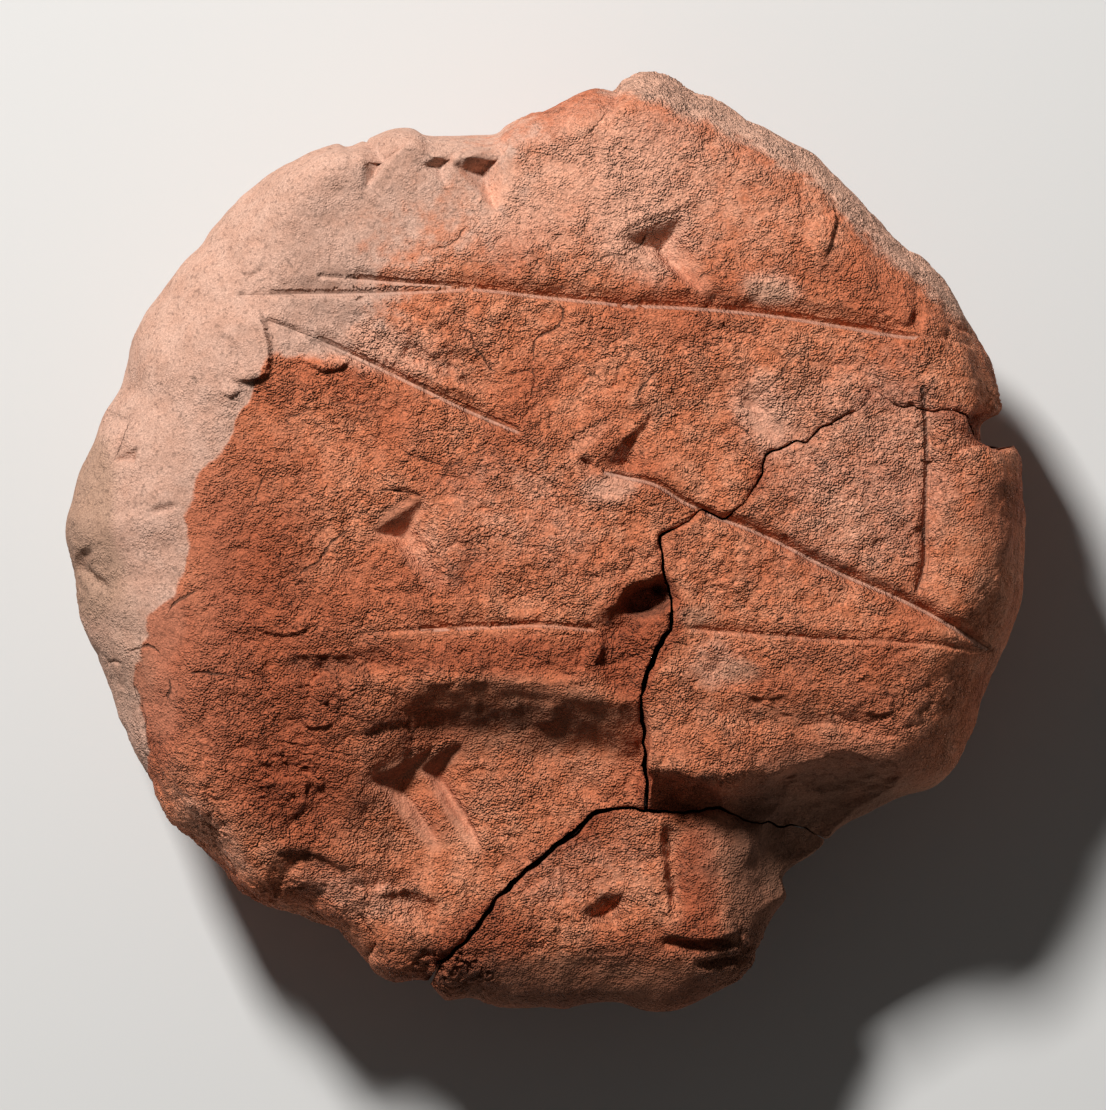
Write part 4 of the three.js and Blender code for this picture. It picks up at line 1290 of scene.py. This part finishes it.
# %% Clay colours
ORANGE = (0.500, 0.152, 0.068, 1)
DEEP_ORANGE = (0.400, 0.102, 0.042, 1)
ROSE_ORANGE = (0.600, 0.225, 0.118, 1)
# the slip's colour, also painted as the ruled lines' highlight
PALE_SLIP_AND_HIGHLIGHT = (0.510, 0.305, 0.225, 1)
PALE_SLIP_DARK = (0.440, 0.238, 0.165, 1)
RIM_PALE = (0.600, 0.385, 0.280, 1)
# pale for dust, for painted light and for smooth places
DUST_AND_HIGHLIGHT_PALE = (0.640, 0.325, 0.215, 1)
GREY_CLAY = (0.330, 0.195, 0.128, 1)
# the colour of the painted shade
PAINTED_SHADE_BROWN = (0.140, 0.060, 0.034, 1)
RED_STAIN = (0.300, 0.066, 0.025, 1)
# dark for dirt in the cracks, and for painted shade in the crevices and the ruled lines' grooves
DIRT_AND_PAINTED_SHADE = (0.100, 0.040, 0.022, 1)
NOISES = {  # size in mm, layers, roughness
    "broad": (8.0, 3), "middle": (2.0, 5, 0.62), "small": (0.62, 3, 0.65), "fine": (0.13, 1),
}
ZONES_READ = ("rough", "smooth", "line", "line_depth")


def shared_values(tree):
    """By name, what several steps of the skin's finish read: the place on the piece, noise in
    four sizes, and four zones."""
    where = own_place(tree)
    noises = {name: speckle(where, *look) for name, look in NOISES.items()}
    read = {name: attribute(tree, name) for name in ZONES_READ}
    return SimpleNamespace(where=where, **noises, **read)


# %% Colour by zones
def zone_colours(tree, on):
    """Two oranges, and painted over them by zone: stains, dust and painted light, the slip, the rim's
    band, grey, painted shade. Noise added to a zone breaks its edge up. The slip's zone is returned too."""
    wobble = (on.middle - 0.5) * 2.4
    slip = attribute(tree, "slip") + wobble
    slip_colour = blended(on.middle.ramp(0.3, 0.7, 0.2), PALE_SLIP_DARK, PALE_SLIP_AND_HIGHLIGHT)
    dust = attribute(tree, "dust") + on.small * 0.5 + on.middle * 0.4
    layers = [  # the zone's share, the paint
        (on.broad.ramp(0.44, 0.66, 0, 0.8), DEEP_ORANGE),
        ((attribute(tree, "stain") + on.middle * 0.6).ramp(0.45, 1.15, 0, 0.85), RED_STAIN),
        # dust, and in some rows painted light
        (dust.ramp(0.55, 1.3, 0, 0.85), DUST_AND_HIGHLIGHT_PALE),
        (on.smooth * 0.3, DUST_AND_HIGHLIGHT_PALE),
        (slip.ramp(-0.5, 0.5), slip_colour),
        ((attribute(tree, "rim_band") + wobble).ramp(-0.3, 0.9, 0, 0.65), RIM_PALE),
        ((attribute(tree, "grey") + on.middle * 0.4).ramp(0.35, 1.1, 0, 0.75), GREY_CLAY),
        # painted shade: darker where shade falls
        ((attribute(tree, "dark") + (on.middle - 0.5) * 0.6).ramp(0.05, 0.95, 0, 0.75), PAINTED_SHADE_BROWN),
    ]
    colour = blended(on.middle.ramp(0.38, 0.64), ORANGE, ROSE_ORANGE)
    for share, paint in layers:
        colour = blended(share, colour, paint)
    return colour, slip


# %% Lighter and darker grains
GRAIN = 0.16  # one grain of clay, in mm


def grain_shade(on):
    """A grey to multiply by: space is cut in small cubes, shaken a little out of line, and each
    has a shade of its own. Small spots are painted darker, as the shade in pits."""
    shake = {0: on.small * (0.6 * MM), 1: on.fine * (0.5 * MM)}
    shaken = on.where.place("ADD", Value(node(on.where.tree, "ShaderNodeCombineXYZ", shake).outputs[0]))
    cubes = shaken.place("SNAP", (GRAIN * MM,) * 3)
    scatter = Value(node(cubes.tree, "ShaderNodeTexWhiteNoise", {"Vector": cubes}).outputs["Value"])
    scatter = (scatter - 0.5) * on.rough.ramp(0.1, 0.6, 0.25, 0.55)
    painted_pit_shade = speckle(on.where, 0.34, 0).ramp(0.27, 0.36, 1, 0)
    shade = on.fine.ramp(0.3, 0.7, 0.85, 1.15) * (1.0 + scatter) * (painted_pit_shade * 0.3).taken_from(1.0)
    return Value(node(cubes.tree, "ShaderNodeCombineXYZ", {axis: shade for axis in range(3)}).outputs[0])


# %% Cracks and crevices
def crack_shares(tree, on):
    """How far a point is in a hairline crack, by its bent distance, and in one of the short
    crevices that open where the clay is rough. The crevices run across the light, and their dark is painted
    shadow."""
    wiggle = (on.small - 0.5) * 0.4 + (on.middle - 0.5) * 1.2
    off_crack = abs(attribute(tree, "hairline") + wiggle) * on.broad.ramp(0.4, 0.62, 0.8, 2.5)
    drawn_out = on.where.place("MULTIPLY", (0.7, 1.5, 1.0))
    crevice_and_painted_shadow = crevices(drawn_out, 1.5, 0.05) * on.middle.ramp(0.56, 0.64) * on.rough.ramp(0.05, 0.75)
    return off_crack.ramp(0.03, 0.10, 1, 0), crevice_and_painted_shadow


# %% Ruled lines
LINE_BELOW, LINE_ABOVE = 0.3, 0.45  # how far a line's bumped groove reaches on either side


def line_shares(side, depth):
    """From the distance to a line and its depth: the steep side's painted highlight, the painted shade
    just above the line's deepest path, and the groove, a V in millimetres, which is finer than the mesh can
    hold."""
    painted_lip_highlight = side.ramp(-0.32, -0.2) * side.ramp(-0.02, 0.03, 1, 0) * depth.ramp(0.25, 0.6)
    floor = abs(side - 0.06).ramp(0.02, 0.12, 1, 0) * depth.ramp(0, 0.4)
    below = side.math("MAXIMUM", side * -1.0, 0.0) * (1 / LINE_BELOW)
    above = side.math("MAXIMUM", side, 0.0) * (1 / LINE_ABOVE)
    return painted_lip_highlight, floor, (below + above).taken_from(1.0, clamp=True) * depth.ramp(0, 0.5, 0, 0.26)


# %% Grain for the bump
def grain_height(on, slip):
    """Lumps, grit and creases in millimetres. They are calmer where the clay is smooth, beside
    the ruled lines and under the slip, and livelier in some places than in others."""
    lively = speckle(on.where, 5.0, 3).ramp(0.42, 0.62, 0.6, 1.25)
    by_line = on.line.ramp(-0.5, -0.1) * on.line.ramp(0.9, 1.5, 1, 0) * on.line_depth.ramp(0.2, 0.5)
    coarse = (0.35 + on.rough * 0.9) * lively * on.smooth.ramp(0, 1, 1, 0.3) * by_line.ramp(0, 1, 1, 0.45)
    creases = abs(speckle(on.where, 0.7, 2, 0.7) - 0.5)
    grit = speckle(on.where, 0.15, 0) * 0.48 + creases * 0.4
    uneven = speckle(on.where, 1.1, 3, 0.7).ramp(0.38, 0.62, 0.3, 1.3)
    height = on.small * 0.12 + grit * uneven + on.middle * 0.4
    return height * (coarse * slip.ramp(-0.5, 0.5, 1, 0.5))


# %% The skin
CRACK_DEPTH = 0.3  # of hairlines and crevices in the bump, in mm


def emptied(material):
    """The material's own tree, with no nodes in it."""
    material.use_nodes = True
    material.node_tree.nodes.clear()
    return material.node_tree


def dress_skin(material):
    """The zones' colours, times the grains' shade, with dirt in the hairline cracks, painted shadow in the
    crevices, a painted highlight and painted shade at the ruled lines, over a bump of grain less the cracks
    and the grooves."""
    tree = emptied(material)
    on = shared_values(tree)
    colour, slip = zone_colours(tree, on)
    crack, crevice_and_painted_shadow = crack_shares(tree, on)
    painted_lip_highlight, floor, groove = line_shares(on.line, on.line_depth)
    colour = blended(1.0, colour, grain_shade(on), "MULTIPLY")
    # a painted highlight on each ruled line's steep side, and painted shade along its groove
    marks = [(crack * 0.85, DIRT_AND_PAINTED_SHADE), (crevice_and_painted_shadow * 0.5, DIRT_AND_PAINTED_SHADE), (painted_lip_highlight * 0.55, PALE_SLIP_AND_HIGHLIGHT), (floor * 0.35, DIRT_AND_PAINTED_SHADE)]
    for share, paint in marks:
        colour = blended(share, colour, paint)
    height = grain_height(on, slip) - ((crack + crevice_and_painted_shadow) * CRACK_DEPTH + groove)
    clay_surface(colour, height, distance=MM, dullness=0.92, gloss=0.25)


# %% The fractures
def dress_fracture(material):
    """Two reds by noise, and a fine bump."""
    where = own_place(emptied(material))
    colour = blended(speckle(where, 2.0, 4, 0.6).ramp(0.35, 0.65), DEEP_ORANGE, RED_STAIN)
    clay_surface(colour, speckle(where, 0.3, 3, 0.6), distance=0.25 * MM, dullness=0.95, gloss=0.2)


dress_skin(skin_finish)
dress_fracture(fracture_finish)
print("the skin's finish has", len(skin_finish.node_tree.nodes), "nodes")

# %% [markdown]
# ## Handing the fragments to the frame
#
# Each fragment stands for the CAD solid of the same name and rides on the part's only body.

# %% Riding
for name, piece in fragments.items():
    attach(piece, "root")
    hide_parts(name)

# %% [markdown]
# ## The studio
#
# The tablet lies on a pale floor and the camera looks straight down on it. One soft light comes
# in low from the top, a little to the left, so that every mark throws a shadow, and a weak even
# light fills the shadows.

# %% Floor
FLOOR_SIZE = 3.0
PALE_FLOOR = (0.64, 0.63, 0.61, 1)

floor_finish = bpy.data.materials.new("pale_floor")
floor_finish.use_nodes = True
floor_finish.node_tree.nodes["Principled BSDF"].inputs["Base Color"].default_value = PALE_FLOOR
floor_finish.node_tree.nodes["Principled BSDF"].inputs["Roughness"].default_value = 0.9

half = FLOOR_SIZE / 2
floor_corners = [(-half, -half, 0), (half, -half, 0), (half, half, 0), (-half, half, 0)]
floor_mesh = bpy.data.meshes.new("floor")
floor_mesh.from_pydata(floor_corners, [], [(0, 1, 2, 3)])
floor_mesh.materials.append(floor_finish)
floor = bpy.data.objects.new("floor", floor_mesh)
bpy.context.scene.collection.objects.link(floor)
print("floor", FLOOR_SIZE, "m wide")

# %% Lights
KEY_DIRECTION, KEY_HEIGHT = 120, 43  # degrees round from +X, and up
KEY_DISTANCE, KEY_SIZE = 0.75, 0.12  # metres
KEY_WATTS = 8.8
AIM_HEIGHT = 0.02  # the lamp looks at a point this high, in metres
FILL_COLOUR, FILL_STRENGTH = (1, 0.98, 0.96, 1), 0.06


def area_light(name, direction, height, distance, size, watts):
    """A square lamp, aimed at the tablet from a compass direction and a height in degrees."""
    lamp = bpy.data.lights.new(name, "AREA")
    lamp.size = size
    lamp.energy = watts
    turn, up = math.radians(direction), math.radians(height)
    away = distance * math.cos(up)
    obj = bpy.data.objects.new(name, lamp)
    obj.location = (away * math.cos(turn), away * math.sin(turn), distance * math.sin(up) + AIM_HEIGHT)
    obj.rotation_euler = (math.pi / 2 - up, 0, turn + math.pi / 2)
    bpy.context.scene.collection.objects.link(obj)


area_light("key", KEY_DIRECTION, KEY_HEIGHT, KEY_DISTANCE, KEY_SIZE, KEY_WATTS)
world = bpy.data.worlds.new("studio")
world.use_nodes = True
world.node_tree.nodes["Background"].inputs["Color"].default_value = FILL_COLOUR
world.node_tree.nodes["Background"].inputs["Strength"].default_value = FILL_STRENGTH
bpy.context.scene.world = world
print("key light", KEY_WATTS, "W, fill", FILL_STRENGTH)

# %% Camera
VIEW_HEIGHT_MM = 1110 / 12.05  # what the frame's long side shows at the height of the rim
VIEW_MIDDLE = (0.58 * MM, -1.08 * MM)
CAMERA_DISTANCE = 1.5
FAR_CLIP = 10

camera_data = bpy.data.cameras.new("camera")
camera_data.lens = camera_data.sensor_width * CAMERA_DISTANCE / (VIEW_HEIGHT_MM * MM)
camera_data.clip_end = FAR_CLIP
camera = bpy.data.objects.new("camera", camera_data)
camera.location = (*VIEW_MIDDLE, CAMERA_DISTANCE + RIM_HEIGHT * MM)
bpy.context.scene.collection.objects.link(camera)
bpy.context.scene.camera = camera
bpy.context.scene.view_settings.view_transform = "Standard"
print("camera lens", round(camera_data.lens), "mm")
